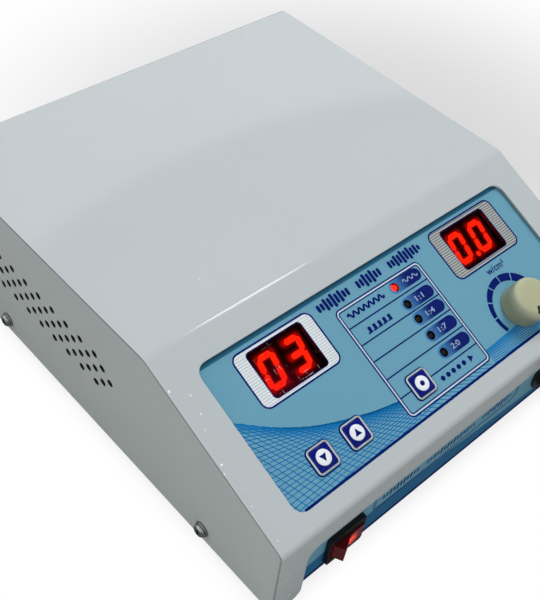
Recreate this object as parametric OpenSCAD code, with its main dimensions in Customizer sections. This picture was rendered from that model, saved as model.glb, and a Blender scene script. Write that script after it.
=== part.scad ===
// Table-top ultrasound therapy unit: a folded sheet cabinet with a sloping control panel.
// Millimetres, +Z up, front face towards -Y. Z = 0 is the table, X = Y = 0 the middle of the
// footprint.

/* [Cabinet] */
// Outside width over the top cover
cab_w = 195; // [190:1:205]
// Depth of the level top, behind the sloping panel
top_depth = 143; // [140:1:155]
// Length of the sloping panel, along the slope
slope_len = 81; // [81:0.5:86]
// Tilt of the sloping panel from level, in degrees
slope_deg = 22.8; // [20:0.2:25]
// Height of the front face, from the chassis floor to the slope
front_h = 39; // [38:0.5:44]
// Thickness of the cover, rear panel and chassis sheet
sheet_t = 1.2; // [1:0.1:1.4]
// Thickness of the side panels
side_t = 1.5; // [1.2:0.1:1.8]
// Outside radius of the bend between front and slope
front_bend = 3; // [2.5:0.25:4]
// Outside radius of the bend between slope and top
break_bend = 10; // [6:1:14]
// Height of the cover's folded rear lip
rear_lip = 9; // [6:1:14]
// How far the side panels and front legs hang below the chassis floor
skirt = 2; // [1:0.5:3]

/* [Front opening] */
// Height of the cover's band above the front opening
band_h = 11.9; // [10:0.1:13]
// Width of each front leg of the cover
leg_w = 13.9; // [12:0.1:15]
// Depth of the front label behind the cover's front face
front_inset = 2.3; // [2:0.1:3]

/* [Side vents] */
// Diameter of a vent hole
vent_d = 3.4; // [2.5:0.1:4]
// Spacing of the holes along a row
vent_pitch = 9.45; // [9:0.05:10]
// Spacing of the rows
vent_row = 4.1; // [3.8:0.1:4.4]
// Holes in the middle row
vent_count = 11; // [9:1:11]
// Distance of the first middle hole from the front face
vent_y = 96.5; // [90:0.5:98]
// Height of the middle row above the chassis floor
vent_z = 35.2; // [34:0.1:40]

/* [Control panel] */
// Width of the opening in the slope
opening_w = 168; // [164:0.5:170]
// Top edge of the opening, down the slope from the bend
opening_v0 = 11.7; // [11:0.1:13]
// Bottom edge of the opening
opening_v1 = 73.5; // [73:0.1:75]
// Depth of the label under the cover's outer surface
recess = 1.8; // [1.6:0.1:2.2]
// Thickness of the printed label
label_t = 0.3; // [0.2:0.05:0.4]
// Depth of the display faces under the label
display_drop = 2.8; // [2:0.1:3.5]
// Height of a display digit
digit_h = 14.2; // [13:0.1:15]
// Slant of the digits, in degrees
digit_slant = 6; // [0:1:10]

/* [Keys and knob] */
// Width of a key
key_w = 10.3; // [9:0.1:11]
// Travel of a key
key_travel = 0.5; // [0.3:0.1:0.6]
// Diameter of the intensity knob
knob_d = 18; // [16:0.5:20]
// Height of the knob above the label
knob_h = 12; // [11:0.5:14]
// Diameter of the control shaft
shaft_d = 6; // [6:0.1:6.3]

/* [Power switch] */
// Width of the switch's bezel
bezel_w = 18.8; // [18.6:0.1:20]
// Height of the switch's bezel
bezel_h = 16.4; // [15:0.1:17]
// Full travel of the rocker, in degrees
rocker_swing = 28; // [24:1:28]

/* [Sockets] */
// Diameter of the probe socket's barrel
barrel_d = 16; // [14:0.5:16.5]
// How far the barrel stands out from the front label
barrel_reach = 7.3; // [6:0.1:9]
// Diameter of the fuse holder's cap
fuse_cap_d = 14.6; // [13:0.2:15.4]
// How far the fuse cap stands out from the rear panel
fuse_reach = 9.4; // [8:0.1:12]

/* [Feet and screws] */
// Height of a rubber foot
foot_h = 8; // [6:0.5:12]
// Diameter of a foot at its top
foot_d = 16; // [14:0.5:18]
// Distance of the front side screws from the front face
side_screw_y = 40.2; // [38:0.1:44]
// Distance of the rear side screws from the front face
side_screw_rear = 173; // [172:0.5:178]
// Height of the side screws above the chassis floor
side_screw_z = 4.4; // [4.4:0.1:6]

/* [Hidden] */
$fn = 64;
slip = 0.05;        // radial clearance of a turning or sliding fit
gap = 0.15;         // gap between sheets that lie side by side
seam = 0.3;         // seam between the cover's rear lip and the side panels
past = 1;           // overshoot of a cutting shape
overhang = 0.6;     // how far the cover stands out over a side panel
rear_bend = 3;
opening_r = 4.9;
front_opening_r = 5.3;
leg_round = 4;

slope_d = slope_len * cos(slope_deg);
body_h = front_h + slope_len * sin(slope_deg);
body_d = slope_d + top_depth;
low_z = -skirt;
half_w = cab_w / 2;
inner_x = half_w - overhang - side_t;      // inner face of a side panel
leg_x = inner_x - seam;                    // outer edge of the cover's rear lip
chassis_x = inner_x - 0.2;
rear_face = body_d - sheet_t - 0.2;        // outer face of the rear panel
label_face = front_inset;                  // outer face of the front label
wall_y = label_face + label_t;             // outer face of the chassis front wall
wall_top = front_h - 7.5;
rear_reach = fuse_reach - (body_d - rear_face);
front_reach = barrel_reach - front_inset;
mid_y = (body_d + rear_reach - front_reach) / 2;

// heights in the panel's own frame: 0 is the cover's outer surface, outwards is positive
label_z = -recess;
plate_top = label_z - label_t;
plate_bottom = plate_top - sheet_t;
display_z = label_z - display_drop;
board_t = 1.6;
display_body_h = 8;
board_top = display_z - display_body_h;
board_bottom = board_top - board_t;
plate_w = opening_w + 14;
plate_v0 = opening_v0 - 4.2;
plate_v1 = opening_v1 + 4;

// places on the panel: across from the middle, and down the slope
time_at = [-50.9, 26.6];
intensity_at = [55.1, 26.6];
window_size = [27.4, 20.2];
display_size = [25.4, 19];
digit_pitch = 12.7;
digit_w = 9.0;
stroke = 2.0;
led_u = 7.3;
led_v = [25.8, 34.1, 41.2, 49.1, 57.3];
led_d = 3;
led_hole = 3.9;
down_at = [-62.7, 62.2];
up_at = [-45.9, 62.2];
select_at = [-10.4, 61.8];
knob_at = [51.9, 60.4];
post_at = [[-80, 18], [80, 18], [-80, 70], [80, 70]];

// switch and sockets, on the front and rear faces
switch_at = [-61.9, 11.2];
rocker_h = 8;
pivot_y = 4;
socket_at = [62, 15.5];
inlet_at = [-45, 24];
fuse_at = [0, 24];

// power supply and output board, on the chassis floor
main_x = [-18, 86];
main_y = [50, 190];
main_z = sheet_t + 6;
main_top = main_z + board_t;
main_posts = [[-12, 56], [80, 56], [-12, 184], [80, 184]];
transformer_at = [-58, 150];
tab_t = 1.2;
foot_at = [[-78, 20], [78, 20], [-78, 196], [78, 196]];
rear_screw_x = 70;
rear_screw_z = 7;
m3_d = 3;
m3_clear = 3.3;
m3_tap = 3.1;
m4_d = 4;
m4_tap = 4.1;
side_screw_d = 3.5;

// ---------- frames ----------

// cabinet frame: y from the front face, z from the underside of the chassis floor
module cab() translate([0, -mid_y, foot_h]) children();

module tilt() translate([0, slope_d, body_h]) rotate([slope_deg, 0, 0]) children();

// a point on the sloping panel: across, down the slope, height above the cover
module on_panel(at, z = 0) cab() tilt() translate([at[0], -at[1], z]) children();

// a shape drawn in x and y, laid on a face that looks to the front, growing forwards
module on_front(at, y) translate([at[0], y, at[1]]) rotate([90, 0, 0]) children();

// the same on a face that looks to the rear, growing backwards
module on_rear(at, y) translate([at[0], y, at[1]]) rotate([-90, 0, 0]) children();

// ---------- shared shapes ----------

function arc_pts(c, r, a0, a1, n) =
    [for (i = [0:n]) let (a = a0 + (a1 - a0) * i / n) c + r * [cos(a), sin(a)]];

function reversed(list) = [for (i = [len(list) - 1:-1:0]) list[i]];

function round_rect(w, h, r) = concat(
    arc_pts([w / 2 - r, h / 2 - r], r, 0, 90, 6),
    arc_pts([-w / 2 + r, h / 2 - r], r, 90, 180, 6),
    arc_pts([-w / 2 + r, -h / 2 + r], r, 180, 270, 6),
    arc_pts([w / 2 - r, -h / 2 + r], r, 270, 360, 6));

module slab(w, h, r, t) linear_extrude(t) polygon(round_rect(w, h, r));

module box(w, d, h) translate([-w / 2, -d / 2, 0]) cube([w, d, h]);

module tube(od, id, h) difference() {
    cylinder(d = od, h = h);
    translate([0, 0, -past]) cylinder(d = id, h = h + 2 * past);
}

module hex_nut(across, bore, h) difference() {
    cylinder(d = across / cos(30), h = h, $fn = 6);
    translate([0, 0, -past]) cylinder(d = bore, h = h + 2 * past);
}

module cross_recess(w, depth) for (a = [0, 90]) rotate([0, 0, a])
    translate([-w / 2, -w * 0.14, -depth]) cube([w, w * 0.28, depth + past]);

// a pan head screw that stands on z = 0, its shank pointing down
module pan_screw(head_d, head_h, shank_d, length) {
    difference() {
        rotate_extrude() polygon(concat([[0, 0]], [[head_d / 2, 0]],
            arc_pts([head_d / 2 - head_h * 0.7, head_h * 0.3], head_h * 0.7, 0, 90, 6),
            [[0, head_h]]));
        translate([0, 0, head_h]) cross_recess(head_d * 0.62, head_h * 0.6);
    }
    translate([0, 0, -length]) cylinder(d = shank_d, h = length);
}

module m3_screw() pan_screw(5.6, 2, m3_d, 6);

// a round wire along points joined by straight runs, with quarter bends at the corners
module wire(points, r, bend) {
    last = len(points) - 1;
    for (i = [0:last - 1]) let (
        d = (points[i + 1] - points[i]) / norm(points[i + 1] - points[i]),
        a = points[i] + (i > 0 ? bend : 0) * d,
        b = points[i + 1] - (i < last - 1 ? bend : 0) * d,
        side = abs(d[2]) > 0.5 ? [1, 0, 0] : [0, 0, 1],
        up = cross(d, side))
        multmatrix([[side[0], up[0], d[0], a[0]], [side[1], up[1], d[1], a[1]],
            [side[2], up[2], d[2], a[2]]])
            cylinder(r = r, h = norm(b - a));
    for (i = [1:last - 1]) let (
        d_in = (points[i] - points[i - 1]) / norm(points[i] - points[i - 1]),
        d_out = (points[i + 1] - points[i]) / norm(points[i + 1] - points[i]),
        c = points[i] + bend * (d_out - d_in),
        n = cross(-d_out, d_in))
        multmatrix([[-d_out[0], d_in[0], n[0], c[0]], [-d_out[1], d_in[1], n[1], c[1]],
            [-d_out[2], d_in[2], n[2], c[2]]])
            rotate_extrude(angle = 90) translate([bend, 0]) circle(r = r);
}

// ---------- cabinet ----------

// the bends of the cover's side view, as y and z, moved in from the outer surface by i
function cover_bends(i) = concat(
    arc_pts([front_bend, front_h + front_bend * tan(slope_deg) - front_bend / cos(slope_deg)],
        front_bend - i, 180, 90 + slope_deg, 8),
    arc_pts([slope_d + break_bend * tan(slope_deg / 2), body_h - break_bend],
        break_bend - i, 90 + slope_deg, 90, 6),
    arc_pts([body_d - rear_bend, body_h - rear_bend], rear_bend - i, 90, 0, 6));

function cover_path(i) =
    concat([[i, low_z]], cover_bends(i), [[body_d - i, body_h - rear_lip]]);

// a side view in y and z, made into a plate w thick, centred on x = 0
module side_view(points, w)
    rotate([90, 0, 90]) translate([0, 0, -w / 2]) linear_extrude(w) polygon(points);

// outline of the front opening in x and z, flared where the legs are rounded
module front_opening() {
    x = half_w - leg_w;
    top = front_h - band_h;
    points = concat([[-x - leg_round, low_z - past]],
        arc_pts([-x - leg_round, low_z + leg_round], leg_round, 270, 360, 6),
        arc_pts([-x + front_opening_r, top - front_opening_r], front_opening_r, 180, 90, 6),
        arc_pts([x - front_opening_r, top - front_opening_r], front_opening_r, 90, 0, 6),
        arc_pts([x + leg_round, low_z + leg_round], leg_round, 180, 270, 6),
        [[x + leg_round, low_z - past]]);
    translate([0, sheet_t + past, 0]) rotate([90, 0, 0])
        linear_extrude(sheet_t + 2 * past) polygon(points);
}

module panel_opening(w, v0, v1, r, z, t) tilt()
    translate([0, -(v0 + v1) / 2, z]) slab(w, v1 - v0, r, t);

module top_cover() color("gainsboro") cab() difference() {
    side_view(concat(cover_path(0), reversed(cover_path(sheet_t))), cab_w);
    panel_opening(opening_w, opening_v0, opening_v1, opening_r, -sheet_t - past,
        sheet_t + 2 * past);
    front_opening();
    // the rear lip fits between the side panels
    for (x = [leg_x, -leg_x - 5]) translate([x, body_d - sheet_t - past, body_h - rear_lip - past])
        cube([5, sheet_t + 2 * past, rear_lip - rear_bend + past - gap]);
}

// holes of one row: the rows above and below the middle are each half a pitch shorter
module vent_holes() for (row = [-2:2]) let (skip = abs(row))
    for (i = [0:vent_count - 1 - skip])
        translate([0, vent_y + (i + skip / 2) * vent_pitch, vent_z + row * vent_row])
            rotate([0, 90, 0]) cylinder(d = vent_d, h = 4 * side_t, center = true);

module side_panel() difference() {
    i = sheet_t + gap;
    rear_notch = body_h - rear_bend - 2 * gap;
    rear_edge = [[body_d - i, rear_notch], [body_d, rear_notch - 4], [body_d, low_z]];
    side_view(concat([[i, low_z]], cover_bends(i), rear_edge), side_t);
    vent_holes();
    for (y = [side_screw_y, side_screw_rear]) translate([0, y, side_screw_z])
        rotate([0, 90, 0]) cylinder(d = side_screw_d + 0.6, h = 4 * side_t, center = true);
}

module left_side_panel() color("darkgray") cab()
    translate([-inner_x - side_t / 2, 0, 0]) side_panel();

module right_side_panel() color("darkgray") cab()
    translate([inner_x + side_t / 2, 0, 0]) side_panel();

flange_h = 14;
switch_cut = [bezel_w - 0.9, 12.6];

module base_chassis() color("lightgray") cab() difference() {
    depth = rear_face - sheet_t - wall_y;
    translate([-chassis_x, wall_y, 0]) difference() {
        cube([2 * chassis_x, depth, wall_top]);
        translate([sheet_t, sheet_t, sheet_t])
            cube([2 * (chassis_x - sheet_t), depth - 2 * sheet_t, wall_top]);
        translate([-past, sheet_t, flange_h]) cube([cab_w, depth, wall_top]);
    }
    translate([switch_at[0], wall_y, switch_at[1]])
        cube([switch_cut[0], 4 * sheet_t, switch_cut[1]], center = true);
    on_front(socket_at, wall_y + 2 * sheet_t) cylinder(d = barrel_d + 0.2, h = 4 * sheet_t);
    for (s = [-1, 1], y = [side_screw_y, side_screw_rear])
        translate([s * chassis_x, y, side_screw_z]) rotate([0, 90, 0])
            cylinder(d = side_screw_d + 0.1, h = 4 * sheet_t, center = true);
    for (p = foot_at) translate([p[0], p[1], -past]) cylinder(d = m4_tap, h = 4 * sheet_t);
    for (s = [-1, 1]) translate([transformer_at[0] + s * tab_x, transformer_at[1], -past])
        cylinder(d = m3_tap, h = 4 * sheet_t);
    for (s = [-1, 1]) on_rear([s * rear_screw_x, rear_screw_z], rear_face - 4 * sheet_t)
        cylinder(d = m3_tap, h = 4 * sheet_t);
}

inlet_flange = [50, 25];
inlet_cut = [27.6, 20];
inlet_screw_x = 20;

module rear_panel() color("silver") cab() difference() {
    translate([-leg_x, rear_face - sheet_t, 0]) cube([2 * leg_x, sheet_t, body_h - rear_bend]);
    translate([inlet_at[0], rear_face, inlet_at[1]])
        cube([inlet_cut[0], 4 * sheet_t, inlet_cut[1]], center = true);
    on_rear(fuse_at, rear_face - 2 * sheet_t) cylinder(d = 12.2, h = 4 * sheet_t);
    for (s = [-1, 1]) {
        on_rear([s * rear_screw_x, rear_screw_z], rear_face - 2 * sheet_t)
            cylinder(d = m3_clear, h = 4 * sheet_t);
        on_rear([inlet_at[0] + s * inlet_screw_x, inlet_at[1]], rear_face - 2 * sheet_t)
            cylinder(d = m3_tap, h = 4 * sheet_t);
    }
}

// ---------- control panel ----------

// what passes through the label and the plate: display windows, keys, lamps and the control bush
module panel_holes(z, t, windows) {
    for (at = [time_at, intensity_at]) translate([at[0], -at[1], z])
        slab(windows[0], windows[1], 1, t);
    for (at = [down_at, up_at, select_at]) translate([at[0], -at[1], z])
        slab(key_w + 0.4, key_w + 0.4, 2, t);
    for (v = led_v) translate([led_u, -v, z]) cylinder(d = led_hole, h = t);
    translate([knob_at[0], -knob_at[1], z]) cylinder(d = 7.2, h = t);
}

module control_plate() color("silver") cab() difference() {
    panel_opening(plate_w, plate_v0, plate_v1, 3, plate_bottom, sheet_t);
    tilt() panel_holes(plate_bottom - past, sheet_t + 2 * past, window_size - [1.4, 1.4]);
}

module control_label() color("steelblue") cab() difference() {
    panel_opening(plate_w, plate_v0, plate_v1, 3, plate_top, label_t);
    tilt() panel_holes(plate_top - past, label_t + 2 * past, window_size);
}

module panel_gasket() color("dimgray") cab() difference() {
    thick = recess - sheet_t;
    panel_opening(plate_w, plate_v0, plate_v1, 3, label_z, thick);
    panel_opening(opening_w + 3, opening_v0 - 1.5, opening_v1 + 1.5, opening_r,
        label_z - past, thick + 2 * past);
}

module front_label() color("steelblue") cab() difference() {
    x = half_w - 4;
    translate([-x, label_face, 0]) cube([2 * x, label_t, wall_top - 0.5]);
    translate([switch_at[0], label_face, switch_at[1]])
        cube([switch_cut[0], 4 * label_t, switch_cut[1]], center = true);
    on_front(socket_at, wall_y + past) cylinder(d = barrel_d + 0.2, h = 3 * past);
}

module display_window() slab(window_size[0] - 2 * slip, window_size[1] - 2 * slip, 1, label_t);

module time_window() color("darkred", 0.5) on_panel(time_at, plate_top) display_window();

module intensity_window() color("darkred", 0.5) on_panel(intensity_at, plate_top)
    display_window();

// one segment: a bar with pointed ends, lying along x
module segment(length) linear_extrude(segment_t) polygon([
    [-length / 2, 0], [-length / 2 + stroke / 2, stroke / 2],
    [length / 2 - stroke / 2, stroke / 2], [length / 2, 0],
    [length / 2 - stroke / 2, -stroke / 2], [-length / 2 + stroke / 2, -stroke / 2]]);

segment_t = 0.2;

module digit() {
    w = digit_w - stroke;
    h = (digit_h - stroke) / 2;
    apart = 0.3;
    lean = tan(digit_slant);
    for (row = [-1:1]) translate([row * h * lean, row * h, 0]) segment(w - apart);
    for (row = [-1, 1], s = [-1, 1])
        translate([s * w / 2 + row * h / 2 * lean, row * h / 2, 0])
            rotate([0, 0, 90 - digit_slant]) segment(h - apart);
}

module two_digits(point) {
    for (s = [-1, 1]) translate([s * digit_pitch / 2, 0, 0]) digit();
    if (point) translate([0.2, -digit_h / 2 + 0.9, 0]) cylinder(d = 1.7, h = segment_t);
}

module display_body(point) difference() {
    translate([0, 0, -display_body_h]) box(display_size[0], display_size[1], display_body_h);
    translate([0, 0, -segment_t]) scale([1, 1, 2]) two_digits(point);
}

module time_display() color("dimgray") on_panel(time_at, display_z) display_body(false);

module time_segments() color("red") on_panel(time_at, display_z - segment_t) two_digits(false);

module intensity_display() color("dimgray") on_panel(intensity_at, display_z)
    display_body(true);

module intensity_segments() color("red") on_panel(intensity_at, display_z - segment_t)
    two_digits(true);

// a round-topped lamp, its top level with the label, on two wire legs
module lamp() {
    body_h = 5.3;
    rotate_extrude() polygon(concat([[0, -body_h], [led_d / 2 + 0.4, -body_h],
        [led_d / 2 + 0.4, 1 - body_h], [led_d / 2, 1 - body_h]],
        arc_pts([0, -led_d / 2], led_d / 2, 0, 90, 8)));
    leg_h = label_z - body_h - board_bottom + 1;
    for (s = [-1, 1]) translate([s * 1.27 - 0.25, -0.25, -body_h - leg_h])
        cube([0.5, 0.5, leg_h]);
}

module continuous_led() color("red") on_panel([led_u, led_v[0]], label_z) lamp();

module pulse_leds() color("maroon") for (i = [1:4]) on_panel([led_u, led_v[i]], label_z) lamp();

// ---------- keys ----------

cap_proud = 0.9;
rim_w = 0.9;
key_flange_t = 0.9;
key_flange_top = plate_bottom - slip;
plunger_d = 3.4;
switch_body = [6, 3.5];
key_at = [down_at, up_at, select_at];

// a key with its retaining flange below the plate and the stem that works its switch
module key() {
    rim_z = label_z + cap_proud - 0.8;
    low = key_flange_top - key_flange_t;
    inner = key_w - 2 * rim_w;
    translate([0, 0, low]) slab(key_w + 1.6, key_w + 1.6, 2, key_flange_t);
    translate([0, 0, low]) slab(key_w, key_w, 1.9, rim_z - low);
    translate([0, 0, low]) slab(inner, inner, 1.2, label_z + cap_proud - 0.25 - low);
    plunger_end = board_top + switch_body[1] - 1.2;
    translate([0, 0, plunger_end]) cylinder(d = plunger_d, h = low - plunger_end + slip);
}

module key_rim() {
    rim_z = label_z + cap_proud - 0.8;
    inner = key_w - 2 * rim_w + 2 * slip;
    translate([0, 0, rim_z]) difference() {
        slab(key_w, key_w, 1.9, 0.8);
        translate([0, 0, -past]) slab(inner, inner, 1.2, 0.8 + 2 * past);
    }
}

module down_key() color("navy") on_panel(down_at) key();
module down_key_rim() color("silver") on_panel(down_at) key_rim();
module up_key() color("navy") on_panel(up_at) key();
module up_key_rim() color("silver") on_panel(up_at) key_rim();
module select_key() color("navy") on_panel(select_at) key();
module select_key_rim() color("silver") on_panel(select_at) key_rim();

module key_switches() color("black") for (at = key_at) on_panel(at, board_top) difference() {
    box(switch_body[0], switch_body[0], switch_body[1]);
    translate([0, 0, switch_body[1] - 1.2 - key_travel - 0.3])
        cylinder(d = plunger_d + 0.2, h = 5);
}

// ---------- intensity control ----------

knob_base = label_z + 0.6;
knob_top = label_z + knob_h;
knob_round = 2.5;
hollow_top = knob_base + 4;
bush_d = 7;
bush_top = label_z + 3.4;
pot_d = 16.5;
pot_h = 8;
pot_low = plate_bottom - pot_h;
pointer_w = 1.4;
pointer_deg = 210;      // the pointer's rest, clockwise from the top of the panel

module knob_body() rotate_extrude() polygon(concat(
    [[0, knob_base], [knob_d / 2, knob_base]],
    arc_pts([knob_d / 2 - 0.2 - knob_round, knob_top - 0.3 - knob_round], knob_round, 0, 75, 8),
    [[knob_d / 4, knob_top - 0.08], [0, knob_top]]));

// the bar that marks the knob's position, from near the middle out over the edge
module pointer_bar(shrink) rotate([0, 0, -pointer_deg])
    translate([-pointer_w / 2 + shrink, knob_d * 0.26 + shrink, knob_top - 0.9 + shrink])
        cube([pointer_w - 2 * shrink, knob_d, 3]);

module intensity_knob() color("ivory") on_panel(knob_at) difference() {
    knob_body();
    translate([0, 0, knob_base - past]) cylinder(d = 13, h = hollow_top - knob_base + past);
    cylinder(d = shaft_d + 2 * slip, h = knob_top - 2);
    difference() {
        pointer_bar(0);
        translate([0, 0, knob_base]) cylinder(d = knob_d - 0.8, h = knob_top - 0.9 - knob_base);
    }
}

module knob_pointer() color("black") on_panel(knob_at) intersection() {
    pointer_bar(slip);
    knob_body();
}

module control_shaft() color("lightgray") on_panel(knob_at, pot_low + 3)
    cylinder(d = shaft_d, h = knob_top - 2.2 - pot_low - 3);

module potentiometer() color("darkgoldenrod") on_panel(knob_at, pot_low) {
    difference() {
        cylinder(d = pot_d, h = pot_h);
        translate([0, 0, 2.8]) cylinder(d = shaft_d + 0.2, h = pot_h);
    }
    for (x = [-5, 0, 5]) translate([x - 0.6, -pot_d / 2 - 4, 2]) cube([1.2, 6, 0.6]);
}

module potentiometer_bush() color("silver") on_panel(knob_at, plate_bottom)
    tube(bush_d, shaft_d + 2 * slip, bush_top - plate_bottom);

module potentiometer_nut() color("silver") on_panel(knob_at, label_z) {
    tube(11, bush_d + 0.1, 0.5);
    translate([0, 0, 0.5]) hex_nut(10, bush_d + 0.1, 2);
}

// ---------- display board ----------

module display_board() color("darkgreen") cab() tilt() difference() {
    w = plate_w - 14;
    v0 = opening_v0 + 1.3;
    v1 = opening_v1 + 0.5;
    translate([0, -(v0 + v1) / 2, board_bottom]) box(w, v1 - v0, board_t);
    for (p = post_at) translate([p[0], -p[1], board_bottom - past])
        cylinder(d = m3_clear, h = board_t + 2 * past);
    for (v = led_v, s = [-1, 1]) translate([led_u + s * 1.27, -v, board_bottom - past])
        cylinder(d = 0.9, h = board_t + 2 * past);
}

module microcontroller() color("black") on_panel([-30, 42], board_bottom - 4.2) {
    box(52, 13.6, 3.7);
    for (i = [0:19], s = [-1, 1]) translate([(i - 9.5) * 2.54 - 0.3, s * 7 - 0.4, 1.5])
        cube([0.6, 0.8, 2.7]);
}

module board_standoffs() color("goldenrod") {
    for (p = post_at) on_panel(p, board_top) tube(6, m3_tap, plate_bottom - board_top);
    for (p = main_posts) cab() translate([p[0], p[1], sheet_t]) tube(6, m3_tap, main_z - sheet_t);
}

// ---------- power switch ----------

// a point of the rocker, level across the switch: distance along and out from the pivot
function turned(p, deg) = [p[0] * cos(deg) - p[1] * sin(deg), p[0] * sin(deg) + p[1] * cos(deg)];

// the rocker seen from above with its two faces level: a shallow V between two ends
rocker_outline = [[-6.7, 6.2], [0, 4.54], [6.7, 6.2], [7.69, 1.9], [7.4, 0.2], [4, -2], [-4, -2],
    [-7.4, 0.2], [-7.69, 1.9]];
bezel_out = 2;
housing_depth = 18;

trunnion_d = 2.4;

module switch_rocker() color("red", 0.8) cab()
    translate([switch_at[0], pivot_y, switch_at[1]]) {
        mirror([0, 1, 0]) translate([0, 0, -rocker_h / 2]) linear_extrude(rocker_h)
            polygon([for (p = rocker_outline) turned(p, -rocker_swing / 2)]);
        cylinder(d = trunnion_d, h = switch_cut[1] - 0.6, center = true);
    }

module switch_housing() color("black") cab() difference() {
    front_y = label_face - bezel_out;
    union() {
        translate([switch_at[0], label_face, switch_at[1]]) rotate([90, 0, 0])
            slab(bezel_w, bezel_h, 1.6, bezel_out);
        translate([switch_at[0], label_face, switch_at[1] - switch_cut[1] / 2 + 0.1])
            translate([-switch_cut[0] / 2 + 0.1, -slip, 0])
                cube([switch_cut[0] - 0.2, housing_depth, switch_cut[1] - 0.2]);
    }
    translate([switch_at[0] - 8.3, front_y - past, switch_at[1] - rocker_h / 2 - 0.2])
        cube([16.6, 9 + past, rocker_h + 0.4]);
    translate([switch_at[0], pivot_y, switch_at[1] - 10])
        cylinder(d = trunnion_d + 2 * slip, h = 20);
}

module switch_terminals() color("silver") cab() for (x = [-4.8, 0, 4.8])
    translate([switch_at[0] + x - 0.4, label_face + housing_depth - slip, switch_at[1] - 2.4])
        cube([0.8, 7, 4.8]);

// ---------- probe socket ----------

collar_t = 1.2;
insert_d = 12.4;
thread_d = barrel_d - 0.3;      // the threaded part behind the collar

module probe_socket_shell() color("silver") cab() on_front(socket_at, label_face) {
    tube(21, barrel_d - past, collar_t);
    tube(barrel_d, insert_d + 2 * slip, barrel_reach);
    translate([0, 0, -12]) tube(thread_d, insert_d + 2 * slip, 13);
}

module probe_socket_insert() color("black") cab() on_front(socket_at, label_face)
    translate([0, 0, -13]) difference() {
        cylinder(d = insert_d, h = 13.5);
        contact_places(1.6 + 2 * slip, 20);
    }

module contact_places(d, h) for (a = [45:90:315]) rotate([0, 0, a])
    translate([3.4, 0, -past]) cylinder(d = d, h = h);

module probe_socket_contacts() color("gold") cab() on_front(socket_at, label_face)
    translate([0, 0, -17 + past]) contact_places(1.6, 22.5);

module probe_socket_nut() color("silver") cab()
    on_front(socket_at, wall_y + sheet_t + 3) hex_nut(20, thread_d + 0.1, 3);

// ---------- rear sockets ----------

inlet_depth = 20;
inlet_flange_t = 3;

module mains_inlet() color("black") cab() on_rear(inlet_at, rear_face) difference() {
    union() {
        slab(inlet_flange[0], inlet_flange[1], 4, inlet_flange_t);
        translate([0, 0, -inlet_depth])
            box(inlet_cut[0] - 0.2, inlet_cut[1] - 0.2, inlet_depth + 1);
    }
    translate([0, 0, -inlet_depth + 7]) linear_extrude(inlet_depth + inlet_flange_t) polygon([
        [-12.2, 8], [12.2, 8], [12.2, -4], [8, -8], [-8, -8], [-12.2, -4]]);
    for (s = [-1, 1]) translate([s * inlet_screw_x, 0, -past]) cylinder(d = m3_clear, h = 6);
    inlet_blades(slip);
}

// the earth blade in the middle, and the two supply blades below it
module inlet_blades(grow) for (p = [[-7, 2], [7, 2], [0, -2]])
    translate([p[0] - 1 - grow, p[1] - 2 - grow, -inlet_depth - 7])
        cube([2 + 2 * grow, 4 + 2 * grow, inlet_depth + 4]);

module mains_inlet_pins() color("silver") cab() on_rear(inlet_at, rear_face) inlet_blades(0);

fuse_flange_t = 1.8;
fuse_body_h = 32;
fuse_plug_d = 9;
fuse_plug_h = 7;

module fuse_holder() color("black") cab() on_rear(fuse_at, rear_face) difference() {
    union() {
        cylinder(d = 15.6, h = fuse_flange_t);
        translate([0, 0, -fuse_body_h]) cylinder(d = 12, h = fuse_body_h + 1);
    }
    translate([0, 0, -fuse_plug_h]) cylinder(d = fuse_plug_d + 2 * slip, h = fuse_plug_h + 5);
    translate([0, 0, -26]) cylinder(d = 5.6, h = 25);
}

module fuse_cap() color("dimgray") cab() on_rear(fuse_at, rear_face) difference() {
    union() {
        translate([0, 0, fuse_flange_t + slip]) cylinder(d = fuse_cap_d,
            h = fuse_reach - fuse_flange_t - slip);
        translate([0, 0, slip - fuse_plug_h]) cylinder(d = fuse_plug_d, h = fuse_plug_h + 3);
    }
    translate([-fuse_cap_d, -0.8, fuse_reach - 2]) cube([2 * fuse_cap_d, 1.6, 3]);
    translate([0, 0, -fuse_plug_h - past]) cylinder(d = 5.2 + 2 * slip, h = 4 + past);
}

module fuse() color("lightcyan") cab() on_rear(fuse_at, rear_face)
    translate([0, 0, slip - fuse_plug_h - 16.2]) cylinder(d = 5.2, h = 20);

// ---------- boards and power supply ----------

module main_board() color("darkgreen") cab() difference() {
    translate([main_x[0], main_y[0], main_z])
        cube([main_x[1] - main_x[0], main_y[1] - main_y[0], board_t]);
    for (p = main_posts) translate([p[0], p[1], main_z - past])
        cylinder(d = m3_clear, h = board_t + 2 * past);
}

core = [54, 30, 45];    // width, stack and height
core_leg = 9;
tab_x = core[0] / 2 + 3.2;

module transformer_core() color("dimgray") cab()
    translate([transformer_at[0], transformer_at[1], sheet_t]) difference() {
        union() {
            box(core[0], core[1], core[2]);
            box(core[0] + 13, 12, tab_t);
        }
        for (s = [-1, 1]) {
            translate([s * 1.5 * core_leg, 0, core_leg])
                box(core_leg, core[1] + 2, core[2] - 2 * core_leg);
            translate([s * tab_x, 0, -past]) cylinder(d = m3_clear, h = 4);
        }
    }

module transformer_winding() color("chocolate") cab()
    translate([transformer_at[0], transformer_at[1], sheet_t + core_leg + 0.1]) difference() {
        h = core[2] - 2 * core_leg - 0.2;
        box(4 * core_leg - 0.2, core[1] + 18, h);
        translate([0, 0, -past]) box(2 * core_leg + 0.2, core[1] + 0.2, h + 2 * past);
    }

module filter_capacitors() color("navy") cab() for (y = [132, 156])
    translate([6, y, main_top]) cylinder(d = 18, h = 30);

sink_at = [44, 172];
sink = [58, 22, 30];

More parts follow.
